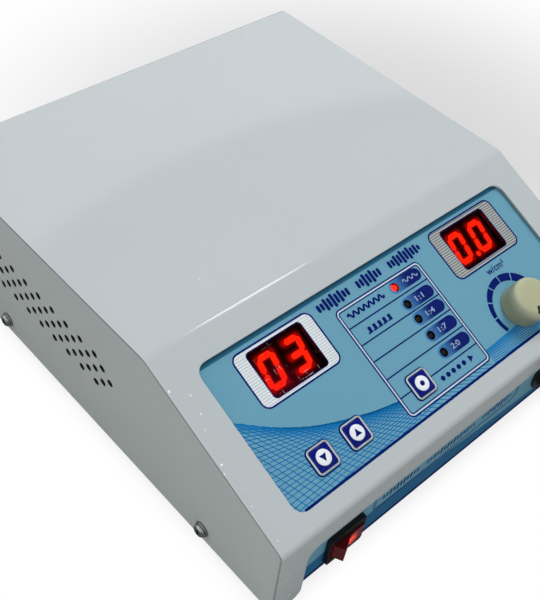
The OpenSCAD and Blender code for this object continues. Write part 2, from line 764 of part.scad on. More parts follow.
module heatsink() color("gray") cab() translate([sink_at[0], sink_at[1], main_top]) {
    translate([-sink[0] / 2, 0, 0]) cube([sink[0], 3, sink[2]]);
    for (i = [0:9]) translate([(i - 4.5) * 6 - 0.8, 2, 0]) cube([1.6, sink[1] - 9, sink[2]]);
}

module output_transistors() color("black") cab() for (x = [-16, 16])
    translate([sink_at[0] + x, sink_at[1], main_top]) {
        translate([0, -2.3, 12]) box(10, 4.5, 9);
        translate([0, -0.7, 18]) box(10, 1.3, 9);
        for (i = [-1:1]) translate([i * 2.54, -2.3, 0]) box(0.8, 0.8, 13);
    }

module buzzer() color("black") cab() translate([74, 84, main_top]) difference() {
    cylinder(d = 12, h = 8.5);
    translate([0, 0, 6]) cylinder(d = 2, h = 5);
}

// the ribbon's side view, in y and z: a free curve from the display board to the main board
ribbon_w = 26;
ribbon_t = 1;
ribbon_x = 25;
ribbon_v = 56;
plug_h = 4;

function panel_point(v, z) = [slope_d - v * cos(slope_deg) - z * sin(slope_deg),
    body_h - v * sin(slope_deg) + z * cos(slope_deg)];
function ribbon_at(t, p) = pow(1 - t, 3) * p[0] + 3 * t * pow(1 - t, 2) * p[1]
    + 3 * t * t * (1 - t) * p[2] + pow(t, 3) * p[3];
function ribbon_out(t, p) = let (d = ribbon_at(t + 0.01, p) - ribbon_at(t - 0.01, p))
    ribbon_t / 2 * [-d[1], d[0]] / norm(d);

module ribbon_cable() color("lightgray") {
    start = panel_point(ribbon_v, board_bottom - plug_h + 0.5);
    near = panel_point(ribbon_v, board_bottom - plug_h - 14);
    finish = [main_y[0] + 12, main_top + plug_h - 0.5];
    p = [start, near, finish + [0, 14], finish];
    steps = [for (i = [0:12]) i / 12];
    cab() translate([ribbon_x, 0, 0]) side_view(concat(
        [for (t = steps) ribbon_at(t, p) + ribbon_out(t, p)],
        reversed([for (t = steps) ribbon_at(t, p) - ribbon_out(t, p)])), ribbon_w);
    on_panel([ribbon_x, ribbon_v], board_bottom - plug_h) box(ribbon_w + 4, 6, plug_h);
    cab() translate([ribbon_x, finish[0], main_top]) box(ribbon_w + 4, 6, plug_h);
}

// supply leads: from behind the mains inlet, along the left side, to the power switch
module mains_wires() color("saddlebrown") cab() for (s = [-1, 1]) {
    z = switch_at[1] + s * 2.2;
    start_x = inlet_at[0] + s * 7;
    start_z = inlet_at[1] - 2;
    y = rear_face - inlet_depth - 14 + s * 2.2;
    x = 2.2 * s - 89.3;
    turn_y = label_face + housing_depth + 16 + s * 2.2;
    end_x = switch_at[0] + s * 4.8;
    wire([[start_x, rear_face - inlet_depth - 7, start_z], [start_x, y, start_z],
        [start_x, y, z], [x, y, z], [x, turn_y, z], [end_x, turn_y, z],
        [end_x, label_face + housing_depth + 7, z]], 1.4, 3);
}

module probe_lead() color("black") cab() wire([
    [socket_at[0], label_face + 17, socket_at[1]], [socket_at[0], 62, socket_at[1]],
    [socket_at[0], 62, main_top]], 3, 4);

// ---------- fasteners and feet ----------

module at_side_screws() for (s = [-1, 1], y = [side_screw_y, side_screw_rear])
    cab() translate([s * (half_w - overhang), y, side_screw_z]) rotate([0, s * 90, 0]) children();

module side_screws() color("silver") at_side_screws() translate([0, 0, 0.8])
    pan_screw(5.4, 1.7, side_screw_d, 8);

module side_screw_washers() color("lightgray") at_side_screws() tube(6.4, side_screw_d + 0.3, 0.8);

module rubber_feet() color("black") for (p = foot_at) cab() translate([p[0], p[1], -foot_h])
    rotate_extrude() polygon([[2.2, 4], [4.6, 4], [4.6, 0], [foot_d / 2 - 1.4, 0],
        [foot_d / 2 - 0.9, 0.6], [foot_d / 2, foot_h], [2.2, foot_h]]);

module foot_screws() color("silver") for (p = foot_at) cab()
    translate([p[0], p[1], 4 - foot_h]) rotate([180, 0, 0]) pan_screw(7, 2.4, m4_d, 8);

module m3_screws() color("silver") {
    for (p = post_at) on_panel(p, board_bottom) rotate([180, 0, 0]) m3_screw();
    for (p = main_posts) cab() translate([p[0], p[1], main_top]) m3_screw();
    for (s = [-1, 1]) {
        cab() on_rear([s * rear_screw_x, rear_screw_z], rear_face) m3_screw();
        cab() on_rear([inlet_at[0] + s * inlet_screw_x, inlet_at[1]], rear_face + inlet_flange_t)
            m3_screw();
        cab() translate([transformer_at[0] + s * tab_x, transformer_at[1], sheet_t + tab_t])
            m3_screw();
    }
}

top_cover();
left_side_panel();
right_side_panel();
base_chassis();
rear_panel();
control_plate();
panel_gasket();
control_label();
front_label();
side_screws();
side_screw_washers();
rubber_feet();
foot_screws();
m3_screws();
board_standoffs();
time_display();
time_segments();
time_window();
intensity_display();
intensity_segments();
intensity_window();
continuous_led();
pulse_leds();
display_board();
microcontroller();
key_switches();
down_key();
down_key_rim();
up_key();
up_key_rim();
select_key();
select_key_rim();
intensity_knob();
knob_pointer();
control_shaft();
potentiometer();
potentiometer_bush();
potentiometer_nut();
switch_housing();
switch_rocker();
switch_terminals();
probe_socket_shell();
probe_socket_insert();
probe_socket_contacts();
probe_socket_nut();
mains_inlet();
mains_inlet_pins();
fuse_holder();
fuse_cap();
fuse();
main_board();
transformer_core();
transformer_winding();
filter_capacitors();
heatsink();
output_transistors();
buzzer();
ribbon_cable();
mains_wires();
probe_lead();
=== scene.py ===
"""A table-top ultrasound therapy unit with a sloping control panel.

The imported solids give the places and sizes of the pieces. This script finishes them, adds the
printed art, the domed keys and the lit digits, and sets the floor, the lights and the camera.
"""

import math

import bmesh
import bpy
from mathutils import Matrix, Vector


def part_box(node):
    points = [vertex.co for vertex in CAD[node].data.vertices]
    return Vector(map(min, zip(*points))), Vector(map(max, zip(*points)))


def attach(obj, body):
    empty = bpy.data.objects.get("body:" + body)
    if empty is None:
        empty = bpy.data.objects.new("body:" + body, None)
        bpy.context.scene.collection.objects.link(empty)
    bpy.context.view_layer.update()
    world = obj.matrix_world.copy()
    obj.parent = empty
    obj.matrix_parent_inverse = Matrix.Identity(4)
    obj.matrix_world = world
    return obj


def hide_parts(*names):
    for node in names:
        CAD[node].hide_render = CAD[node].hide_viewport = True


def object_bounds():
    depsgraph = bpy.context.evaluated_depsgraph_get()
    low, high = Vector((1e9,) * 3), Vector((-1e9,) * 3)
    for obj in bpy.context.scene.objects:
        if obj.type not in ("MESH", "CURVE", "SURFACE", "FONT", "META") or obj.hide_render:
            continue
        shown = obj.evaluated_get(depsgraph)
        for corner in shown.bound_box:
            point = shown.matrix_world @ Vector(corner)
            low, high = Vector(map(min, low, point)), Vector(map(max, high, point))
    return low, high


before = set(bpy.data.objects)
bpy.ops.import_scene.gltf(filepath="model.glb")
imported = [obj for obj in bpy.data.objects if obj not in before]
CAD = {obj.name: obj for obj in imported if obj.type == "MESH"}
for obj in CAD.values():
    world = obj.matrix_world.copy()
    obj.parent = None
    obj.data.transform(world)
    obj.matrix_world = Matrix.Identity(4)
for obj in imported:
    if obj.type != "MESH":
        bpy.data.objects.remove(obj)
cad_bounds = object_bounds()
MM = 0.001
ROOT = "cabinet"

# ---------- places ----------

# On the sloping panel a place is so many millimetres across from the middle and down from the
# upper bend, and a height is outwards from the cover's outer surface.

SLOPE = math.radians(22.8)
UP_SLOPE = Vector((0, math.cos(SLOPE), math.sin(SLOPE)))
X, Y, Z = (1, 0, 0), (0, 1, 0), (0, 0, 1)
PLATE_V0 = 7.5              # upper edge of the label
LABEL_H = -1.8              # the label's face
LABEL_T = 0.3
DISPLAY_H = LABEL_H - 2.8   # a display's face
FILM_T = 0.02               # thickness of one layer of printed ink
WINDOW = (27.3, 20.1)       # a display's opening in the label
ROWS = (25.8, 34.1, 41.2, 49.1, 57.3)   # rows of the mode table, each level with its lamp
FRONT_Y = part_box("top_cover")[0].y
FLOOR_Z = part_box("base_chassis")[0].z       # the chassis floor


def panel_matrix():
    """Frame of the sloping panel: x across, y up the slope, z outwards, in millimetres."""
    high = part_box("control_label")[1]
    rise = PLATE_V0 * math.sin(SLOPE) - LABEL_H * math.cos(SLOPE)
    back = PLATE_V0 * math.cos(SLOPE) + (LABEL_H - LABEL_T) * math.sin(SLOPE)
    origin = Vector((0, high.y + back * MM, high.z + rise * MM))
    return Matrix.Translation(origin) @ Matrix.Rotation(SLOPE, 4, "X") @ Matrix.Scale(MM, 4)


def front_matrix():
    """Frame of the front label: x across, y up from the chassis floor, z outwards."""
    origin = Vector((0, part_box("front_label")[0].y, FLOOR_Z))
    return Matrix.Translation(origin) @ Matrix.Rotation(math.pi / 2, 4, "X") @ Matrix.Scale(MM, 4)


PANEL = panel_matrix()


def on_panel(node):
    """The middle of a node, across and down the panel."""
    low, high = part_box(node)
    place = PANEL.inverted() @ ((low + high) / 2)
    return round(place.x, 2), round(-place.y, 2)


TIME_AT = on_panel("time_window")
INTENSITY_AT = on_panel("intensity_window")
KNOB_AT = on_panel("control_shaft")
KEYS = {name: on_panel(name + "_key_rim") for name in ("down", "up", "select")}
LED_U = on_panel("continuous_led")[0]
FRONT = front_matrix()

# ---------- node graphs ----------

RELIEF = 0.0002     # depth of a bump, in metres


class Graph:
    """The node tree of a material or of the world, built a node at a time."""

    def __init__(self, name, group=bpy.data.materials, end="OutputMaterial", place="Object"):
        self.owner = group.new(name)
        self.owner.use_nodes = True
        self.tree = self.owner.node_tree
        self.tree.nodes.clear()
        self.out = self.add(end)
        self.place = self.add("TexCoord").outputs[place]

    def add(self, kind, inputs=None, **settings):
        node = self.tree.nodes.new("ShaderNode" + kind)
        for key, value in settings.items():
            setattr(node, key, value)
        for key, value in (inputs or {}).items():
            self.put(node.inputs[key], value)
        return node

    def put(self, socket, value):
        if isinstance(value, bpy.types.NodeSocket):
            self.tree.links.new(value, socket)
        elif socket.type == "RGBA":
            socket.default_value = (*value, 1.0)
        else:
            socket.default_value = value

    def math(self, op, a, b=0.0, c=0.0, clamp=False):
        node = self.add("Math", {0: a, 1: b, 2: c}, operation=op, use_clamp=clamp)
        return node.outputs[0]

    def dot(self, vector, direction):
        node = self.add("VectorMath", {0: vector, 1: direction}, operation="DOT_PRODUCT")
        return node.outputs["Value"]

    def at(self, direction):
        """How far the place being shaded lies along a direction."""
        return self.dot(self.place, direction)

    def times(self, a, b):
        return self.math("MULTIPLY", a, b)

    def minus(self, a, b):
        return self.math("SUBTRACT", a, b)

    def apart(self, a, b):
        """How far apart two values are."""
        return self.math("ABSOLUTE", self.minus(a, b))

    def mix(self, fac, a, b):
        node = self.add("Mix", data_type="RGBA", clamp_factor=True)
        for socket, value in zip((node.inputs[0], node.inputs[6], node.inputs[7]), (fac, a, b)):
            self.put(socket, value)
        return node.outputs[2]

    def noise(self, scale, detail=3.0, rough=0.5, vector=None):
        inputs = {"Vector": vector or self.place, "Scale": scale, "Detail": detail,
                  "Roughness": rough}
        return self.add("TexNoise", inputs).outputs["Fac"]

    def stretch(self, sx, sy, sz):
        node = self.add("VectorMath", {0: self.place, 1: (sx, sy, sz)}, operation="MULTIPLY")
        return node.outputs[0]

    def step(self, value, low, high, to_low=0.0, to_high=1.0):
        """An eased run from one value to another, held level beyond both ends."""
        inputs = {"Value": value, "From Min": low, "From Max": high, "To Min": to_low,
                  "To Max": to_high}
        return self.add("MapRange", inputs, interpolation_type="SMOOTHSTEP").outputs["Result"]

    def bump(self, height, strength, distance=RELIEF):
        inputs = {"Height": height, "Strength": strength, "Distance": distance}
        return self.add("Bump", inputs).outputs["Normal"]

    def surface(self, **values):
        """Ends the tree in a principled surface; keys are socket names with _ for spaces."""
        node = self.add("BsdfPrincipled")
        for key, value in values.items():
            self.put(node.inputs[key.replace("_", " ")], value)
        return self.finish(node.outputs["BSDF"])

    def film(self, colour, gloss, coat, **values):
        """Ends the tree in a printed plastic film."""
        return self.surface(Base_Color=colour, Roughness=0.45, Specular_IOR_Level=gloss,
                            Coat_Weight=coat, Coat_Roughness=0.12, **values)

    def finish(self, shader):
        self.tree.links.new(shader, self.out.inputs["Surface"])
        return self.owner


def shaded(g, colour, patches, spread):
    """The colour, a little lighter and darker from patch to patch."""
    dark = tuple(c * (1 - spread) for c in colour)
    light = tuple(min(1.0, c * (1 + spread)) for c in colour)
    return g.mix(patches, dark, light)


def finish(name, colour, rough, metal=0.0, coat=0.0, grain=1500.0, bump=0.1, spread=0.06,
           brushed=None, **more):
    """A moulded, painted or metal surface with patchy colour, uneven gloss and fine grain."""
    g = Graph(name)
    patches = g.noise(40, 4, 0.6)
    fine = g.noise(grain, 2, 0.5, g.stretch(*brushed) if brushed else None)
    uneven = g.math("MULTIPLY_ADD", patches, 0.3 * rough, rough * 0.85, clamp=True)
    return g.surface(Base_Color=shaded(g, colour, patches, spread), Metallic=metal,
                     Roughness=uneven, Coat_Weight=coat, Coat_Roughness=0.08,
                     Normal=g.bump(fine, bump), **more)


# ---------- mesh building ----------


def arc(cx, cy, r, a0, a1, n):
    """Points along an arc, with the angles in degrees."""
    angles = [math.radians(a0 + (a1 - a0) * i / n) for i in range(n + 1)]
    return [(cx + r * math.cos(a), cy + r * math.sin(a)) for a in angles]


def circle(cx, cy, r, n):
    return arc(cx, cy, r, 0, 360, n)[:-1]


def rounded(cx, cy, w, h, r, n=8):
    x, y = w / 2 - r, h / 2 - r
    return (arc(cx + x, cy + y, r, 0, 90, n) + arc(cx - x, cy + y, r, 90, 180, n)
            + arc(cx - x, cy - y, r, 180, 270, n) + arc(cx + x, cy - y, r, 270, 360, n))


def add_object(name, data):
    obj = bpy.data.objects.new(name, data)
    bpy.context.scene.collection.objects.link(obj)
    return obj


def add_mesh(name, bm, material):
    mesh = bpy.data.meshes.new(name)
    bm.normal_update()
    bm.to_mesh(mesh)
    bm.free()
    mesh.materials.append(material)
    return add_object(name, mesh)


def add_piece(name, bm, key, body):
    obj = add_mesh(name, bm, MAT[key])
    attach(obj, body)
    return obj


BOLD = 0.012        # outward swell of a printed numeral, for a size of 1


class Print:
    """Flat printed shapes on one face: drawn in millimetres, then made into a thin film of ink."""

    def __init__(self, matrix, level, base=LABEL_H, flip=True):
        self.bm = bmesh.new()
        self.matrix = matrix
        self.h = base + FILM_T * level
        self.sign = -1 if flip else 1

    def vert(self, p):
        return self.bm.verts.new(self.matrix @ Vector((p[0], self.sign * p[1], self.h)))

    def face(self, verts):
        face = self.bm.faces.new(verts)
        face.normal_update()
        if face.normal.dot(self.matrix.to_3x3() @ Vector(Z)) < 0:
            face.normal_flip()

    def fill(self, points):
        self.face([self.vert(p) for p in points])

    def band(self, left, right, closed=False):
        """A strip between two rows of points."""
        a = [self.vert(p) for p in left]
        b = [self.vert(p) for p in right]
        n = len(a)
        for i in range(n if closed else n - 1):
            j = (i + 1) % n
            self.face([a[i], a[j], b[j], b[i]])

    def outline(self, cx, cy, w, h, r, width):
        self.band(rounded(cx, cy, w, h, r),
                  rounded(cx, cy, w - 2 * width, h - 2 * width, max(r - width, 0.05)), True)

    def stroke(self, points, width):
        """A line of the given width along the points, with square ends."""
        left, right = [], []
        for i, p in enumerate(points):
            a = points[max(i - 1, 0)]
            b = points[min(i + 1, len(points) - 1)]
            dx, dy = b[0] - a[0], b[1] - a[1]
            scale = width / 2 / math.hypot(dx, dy)
            left.append((p[0] - dy * scale, p[1] + dx * scale))
            right.append((p[0] + dy * scale, p[1] - dx * scale))
        self.band(left, right)

    def words(self, body, cx, cy, width, height):
        """Generic numerals or a unit, fitted to a width and a height about a middle."""
        curve = bpy.data.curves.new("glyphs", "FONT")
        curve.body = body
        curve.offset = BOLD
        carrier = bpy.data.objects.new("glyphs", curve)
        mesh = carrier.to_mesh()
        xs = [v.co.x for v in mesh.vertices]
        ys = [v.co.y for v in mesh.vertices]
        kx = width / (max(xs) - min(xs))
        ky = height / (max(ys) - min(ys))
        x0, y0 = (max(xs) + min(xs)) / 2, (max(ys) + min(ys)) / 2
        place = [self.vert((cx + (v.co.x - x0) * kx, cy + self.sign * (v.co.y - y0) * ky))
                 for v in mesh.vertices]
        for polygon in mesh.polygons:
            self.face([place[i] for i in polygon.vertices])
        carrier.to_mesh_clear()
        bpy.data.objects.remove(carrier)
        bpy.data.curves.remove(curve)

    def make(self, name, key, slot="label_blue"):
        obj = add_piece(name, self.bm, key, ROOT)
        film = obj.modifiers.new("ink", "SOLIDIFY")
        film.thickness = FILM_T * MM
        film.offset = -1.0
        return obj


WELD = 1e-6         # points nearer than this are one, in metres


def soften(names, width, segments, angle):
    """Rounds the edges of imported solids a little, and shades their bends smoothly."""
    for name in names.split():
        obj = CAD[name]
        obj.modifiers.new("weld", "WELD").merge_threshold = WELD
        bevel = obj.modifiers.new("edges", "BEVEL")
        bevel.width = width * MM
        bevel.segments = segments
        bevel.limit_method = "ANGLE"
        bevel.angle_limit = math.radians(angle)
        for polygon in obj.data.polygons:
            polygon.use_smooth = True
        obj.modifiers.new("shading", "WEIGHTED_NORMAL").keep_sharp = False


def paint(material, names):
    for name in names.split():
        mesh = CAD[name].data
        mesh.materials.clear()
        mesh.materials.append(material)


# ---------- wave art ----------

TABLE = (0.4, 45.85, 47.4, 49.1)    # the mode table: middle across and down, width, height
KEY_W = 10.3                # width of a key over its rim
KEY_GAP = KEY_W / 2 + 0.2   # half width of the blank square under a key

LABEL_LEFT, LABEL_RIGHT, LABEL_LOW = -88.0, 88.0, 75.5     # the art's sides and lower edge

# upper edge of the wave on the label: across, and down the slope
WAVE = ((-92, 28.3), (-82.8, 35), (-73, 42.6), (-65.2, 47.7), (-57.4, 51.8), (-49.6, 54.9),
        (-41.8, 57.4), (-34, 59.8), (-24.2, 61.9), (-11, 64.1), (1, 65.5), (13, 66.1),
        (24.3, 66.2), (30.4, 66), (44.8, 65.3), (61, 63.9), (76, 61.9), (92, 59))


def wave_at(x):
    """How far down the wave's edge is, on a smooth curve through its points."""
    last = len(WAVE) - 1
    i = max(k for k in range(last) if WAVE[k][0] <= x or k == 0)
    (x1, y1), (x2, y2) = WAVE[i], WAVE[i + 1]
    x0, y0 = WAVE[max(i - 1, 0)]
    x3, y3 = WAVE[min(i + 2, last)]
    t = (x - x1) / (x2 - x1)
    m1 = (y2 - y0) / (x2 - x0) * (x2 - x1)
    m2 = (y3 - y1) / (x3 - x1) * (x2 - x1)
    return (y1 * (1 + 2 * t) * (1 - t) ** 2 + m1 * t * (1 - t) ** 2
            + y2 * t * t * (3 - 2 * t) - m2 * t * t * (1 - t))


def on_label(p):
    """Whether a wave line shows here: above the lower edge, outside the table and the keys."""
    cx, cy, w, h = TABLE
    blanks = [(cx, cy, w / 2, h / 2)] + [(u, v, KEY_GAP, KEY_GAP) for u, v in KEYS.values()]
    return p[1] < LABEL_LOW and not any(abs(p[0] - x) < across and abs(p[1] - y) < down
                                        for x, y, across, down in blanks)


HALVINGS = 7        # steps in the search for the end of a line


def crossing(shown, hidden):
    """The place between two points of a line where it stops showing."""
    for _ in range(HALVINGS):
        middle = ((shown[0] + hidden[0]) / 2, (shown[1] + hidden[1]) / 2)
        if on_label(middle):
            shown = middle
        else:
            hidden = middle
    return shown


def runs(line):
    """The stretches of a line that show."""
    run, last = [], None
    for p in line:
        if on_label(p):
            if not run and last:
                run.append(crossing(p, last))
            run.append(p)
        elif run:
            yield run + [crossing(run[-1], p)]
            run = []
        last = p
    if len(run) > 1:
        yield run


NET_RIGHT = TABLE[0] + 22       # the net ends behind the table
PACE = 1.1                      # between points along a line
FIRST_START, START_GAP = 34.6, 1.75     # where the shallow lines start, down the left edge


def shallow_lines():
    """Straight lines from the label's left edge that just touch the wave's edge."""
    next_start = FIRST_START
    for i in range(290):
        touch = LABEL_LEFT + 3 + 0.5 * i
        height = wave_at(touch)
        slope = (wave_at(touch + 1) - wave_at(touch - 1)) / 2
        start = height - slope * (touch - LABEL_LEFT)
        if start < next_start:
            continue
        next_start = start + START_GAP
        steps = [LABEL_LEFT + PACE * k for k in range(int((touch - LABEL_LEFT) / PACE) + 1)]
        yield [(u, height + slope * (u - touch)) for u in steps if u < NET_RIGHT]


def steep_lines():
    """Lines that leave the wave's edge and bend down to the label's lower edge."""
    spacing, reach, points = 3.2, 30, 28
    for k in range(40):
        foot = LABEL_LEFT + 1.5 + spacing * k
        line = []
        for i in range(points + 1):
            t = i / points
            u = foot - reach * (1 - t)
            edge = wave_at(u)
            if LABEL_LEFT <= u <= NET_RIGHT:
                line.append((u, edge + t * t * (LABEL_LOW - edge)))
        yield line


def streak_lines():
    """Near-level streaks to the right of the table."""
    first, spacing, sag = 66.3, 0.86, 1.5
    for k in range(-1, 9):
        line = []
        for i in range(56):
            u = TABLE[0] + 23.8 + i * PACE
            v = first + spacing * k + sag * (1 - math.exp(-i / 14))
            if u <= LABEL_RIGHT and v >= wave_at(u):
                line.append((u, v))
        yield line


def wave_lines():
    """The net of thin lines below the wave's edge."""
    art = Print(PANEL, 1)
    for family, width in ((shallow_lines, 0.33), (steep_lines, 0.33), (streak_lines, 0.36)):
        for line in family():
            for run in runs(line):
                art.stroke(run, width)
    return art


SKY_BLUE = (0.134, 0.322, 0.432)
TABLE_BLUE = (0.134, 0.322, 0.436)
WAVE_BLUE = (0.002, 0.160, 0.410)
SHADED_BLUE = (0.022, 0.118, 0.200)
NAVY = (0.002, 0.010, 0.130)
SHADE_TO = 13.45            # the cover's edge shades the label down to here


def label_material():
    """Glossy printed film: pale blue, with a blue wave that fades downwards."""
    g = Graph("label_film")
    across = g.times(g.at(X), 1 / MM)
    zero = PANEL.translation.dot(UP_SLOPE)
    down = g.times(g.minus(zero, g.at(UP_SLOPE)), 1 / MM)
    curve = g.add("FloatCurve")
    span = LABEL_RIGHT * 2 + 8
    points = curve.mapping.curves[0].points
    for u, v in WAVE[1:-1]:
        points.new((u + span / 2) / span, v / 100)
    points[0].location = (0, WAVE[0][1] / 100)
    points[len(points) - 1].location = (1, WAVE[-1][1] / 100)
    curve.mapping.update()
    g.put(curve.inputs["Value"], g.math("MULTIPLY_ADD", across, 1 / span, 0.5))
    depth = g.minus(down, g.times(curve.outputs[0], 100))
    inside = g.step(depth, -0.1, 0.15)
    reach = g.step(across, -80, 0, 6.5, 4.5)    # how deep the wave's blue fades out
    fade = g.math("SUBTRACT", 1, g.step(g.math("DIVIDE", depth, reach), 0.0, 1.0), clamp=True)
    patches = g.noise(30, 4, 0.6)
    sky = shaded(g, SKY_BLUE, patches, 0.05)
    wave = g.mix(g.times(fade, 0.85), sky, WAVE_BLUE)
    colour = g.mix(inside, sky, wave)
    cx, cy, w, h = TABLE
    beside = g.minus(g.apart(across, cx), w / 2 - 0.5)
    beyond = g.minus(g.apart(down, cy), h / 2 - 0.5)
    outside = g.step(g.math("MAXIMUM", beside, beyond), -0.05, 0.05)
    colour = g.mix(outside, shaded(g, TABLE_BLUE, patches, 0.04), colour)
    colour = g.mix(g.step(down, SHADE_TO + 0.25, SHADE_TO - 0.1), colour, SHADED_BLUE)
    return g.film(colour, 0.08, 0.04, Normal=g.bump(g.noise(2500, 2), 0.06, RELIEF / 2))


# ---------- materials ----------


def ink(name, colour):
    return finish(name, colour, 0.5, coat=0.03, grain=2500, bump=0.05, spread=0.05,
                  Specular_IOR_Level=0.05)


def crevice_shade(g, colour, reach, level):
    """The colour, darkened to a grey level where another surface stands close by: painted shade.
    """
    near = g.add("AmbientOcclusion", {"Distance": reach}, samples=8).outputs["AO"]
    return g.mix(g.step(near, 0.35, 0.85), tuple(c * level for c in (0.5, 0.52, 0.52)), colour)


def bright_screw():
    """Dull nickel plating, with painted shade in its recess and round its edges."""
    g = Graph("bright_screw")
    patches = g.noise(500, 3, 0.6)
    colour = shaded(g, (0.42, 0.44, 0.42), patches, 0.25)
    # painted shade in the recess and where the head meets the panel
    colour = crevice_shade(g, colour, 0.0014, 0.02)
    return g.surface(Base_Color=colour, Metallic=0.95, Roughness=0.22,
                     Normal=g.bump(patches, 0.1))


def dust_specks(g):
    """Specks of dust, most of them along the left side of the slope."""
    dust = g.add("TexVoronoi", {"Vector": g.place, "Scale": 260}).outputs["Distance"]
    edge = g.step(g.at(X), -83 * MM, -96 * MM, 0.0, 0.34)
    edge = g.times(edge, g.step(g.at(Y), -30 * MM, -50 * MM))
    dusty = g.math("ADD", g.noise(90, 2), edge)
    return g.times(g.step(dust, 0.15, 0.08), g.step(dusty, 0.645, 0.75))


def cover_paint():
    """Glossy off-white paint with slight orange peel, dust and faint smears.

    Cut edges that face sideways are darker, as painted shade. The edges of the openings that face
    up the slope or to the right are lighter, as a painted highlight."""
    g = Graph("cover_paint")
    patches = g.noise(18, 4, 0.55)
    peel = g.noise(300, 2)
    specks = dust_specks(g)
    smear = g.step(g.noise(35, 5, 0.65, g.stretch(1, 2.5, 1)), 0.45, 0.75)
    base = shaded(g, (0.480, 0.512, 0.525), patches, 0.02)
    base = g.mix(g.times(specks, 0.8), base, (0.95, 0.96, 0.96))
    facing = g.add("NewGeometry").outputs["True Normal"]
    # painted shade on faces that look sideways
    sideways_shade = g.step(g.math("ABSOLUTE", g.dot(facing, X)), 0.9, 0.98)
    base = g.mix(sideways_shade, base, (0.27, 0.29, 0.285))
    # painted highlight on the openings' edges that face up the slope or to the right
    lip_highlight = g.math("MAXIMUM", g.dot(facing, UP_SLOPE), g.dot(facing, (0.94, 0, 0.34)))
    lip_highlight = g.times(g.step(lip_highlight, 0.55, 0.75), g.step(g.at(Y), -45 * MM, -50 * MM))
    base = g.mix(lip_highlight, base, (0.86, 0.88, 0.88))
    rough = g.math("MULTIPLY_ADD", smear, 0.03, 0.04)
    return g.surface(Base_Color=base, Roughness=0.55, Specular_IOR_Level=0.2, Coat_Weight=0.9,
                     Coat_Roughness=rough, Coat_Normal=g.bump(peel, 0.018),
                     Normal=g.bump(specks, 0.3, RELIEF / 2))


def panel_paint(name, sides=False):
    """The side and rear panels' paint: greyer and a little rougher than the cover's.

    The bores of the side panels' vents carry painted shade, dark like the inside of the cabinet."""
    g = Graph(name)
    patches = g.noise(22, 5, 0.6)
    texture = g.noise(900, 3)
    base = shaded(g, (0.44, 0.468, 0.463), patches, 0.03)
    # painted shade where another surface stands close, as under the cover's overhanging edge
    base = crevice_shade(g, base, 0.0016, 0.06)
    if sides:
        low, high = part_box("right_side_panel")
        # painted shade in the vents' bores
        out = g.math("ABSOLUTE", g.at(X))
        bore = g.step(out, high.x - 0.05 * MM, high.x - 0.2 * MM)
        bore = g.times(bore, g.step(g.at(Y), high.y - 5 * MM, high.y - 6 * MM))
        bore = g.times(bore, g.step(g.at(Z), low.z + 9 * MM, low.z + 10 * MM))
        base = g.mix(bore, base, (0.012, 0.014, 0.014))
    rough = g.math("MULTIPLY_ADD", patches, 0.15, 0.36)
    return g.surface(Base_Color=base, Roughness=rough, Coat_Weight=0.15,
                     Normal=g.bump(texture, 0.16))


def bezel_silver(name, light, dark, sheen):
    """Silver ink with fine ribs across the slope."""
    g = Graph(name)
    ribs = g.math("SINE", g.times(g.at(UP_SLOPE), 2 * math.pi / (1.06 * MM)))
    mask = g.math("MULTIPLY_ADD", ribs, 0.5, 0.5)
    colour = g.mix(mask, dark, light)
    sparkle = g.noise(1800, 2)
    colour = g.mix(g.step(sparkle, 0.55, 0.75, 0, sheen), colour, (0.90, 0.93, 0.95))
    normal = g.bump(g.math("ADD", mask, g.times(sparkle, 0.4)), 0.2)
    return g.surface(Base_Color=colour, Metallic=0.25, Roughness=0.4,
                     Coat_Weight=0.2, Coat_Roughness=0.1, Normal=normal)


def pill_blue():
    """Ink that runs from mid blue on the left to navy on the right."""
    g = Graph("pill_ink")
    turn = g.step(g.at(X), 6 * MM, 15 * MM)
    dots = g.times(g.step(g.noise(2600, 1), 0.5, 0.6), g.minus(1, turn))
    colour = g.mix(turn, (0.035, 0.16, 0.42), NAVY)
    colour = g.mix(g.times(dots, 0.3), colour, (0.2, 0.4, 0.6))
    return g.film(colour, 0.12, 0.15)


def lit(name, core, strength, spill=0.2):
    """A glowing face with hotter patches; spill is the share that lights what is round it."""
    g = Graph(name)
    patches = g.noise(700, 2)
    glow = g.math("MULTIPLY_ADD", patches, 0.5 * strength, 0.75 * strength)
    direct = g.add("LightPath").outputs["Is Camera Ray"]
    glow = g.times(glow, g.math("MULTIPLY_ADD", direct, 1 - spill, spill))
    return g.surface(Base_Color=core, Roughness=0.4, Specular_IOR_Level=0.1,
                     Emission_Color=core, Emission_Strength=glow)


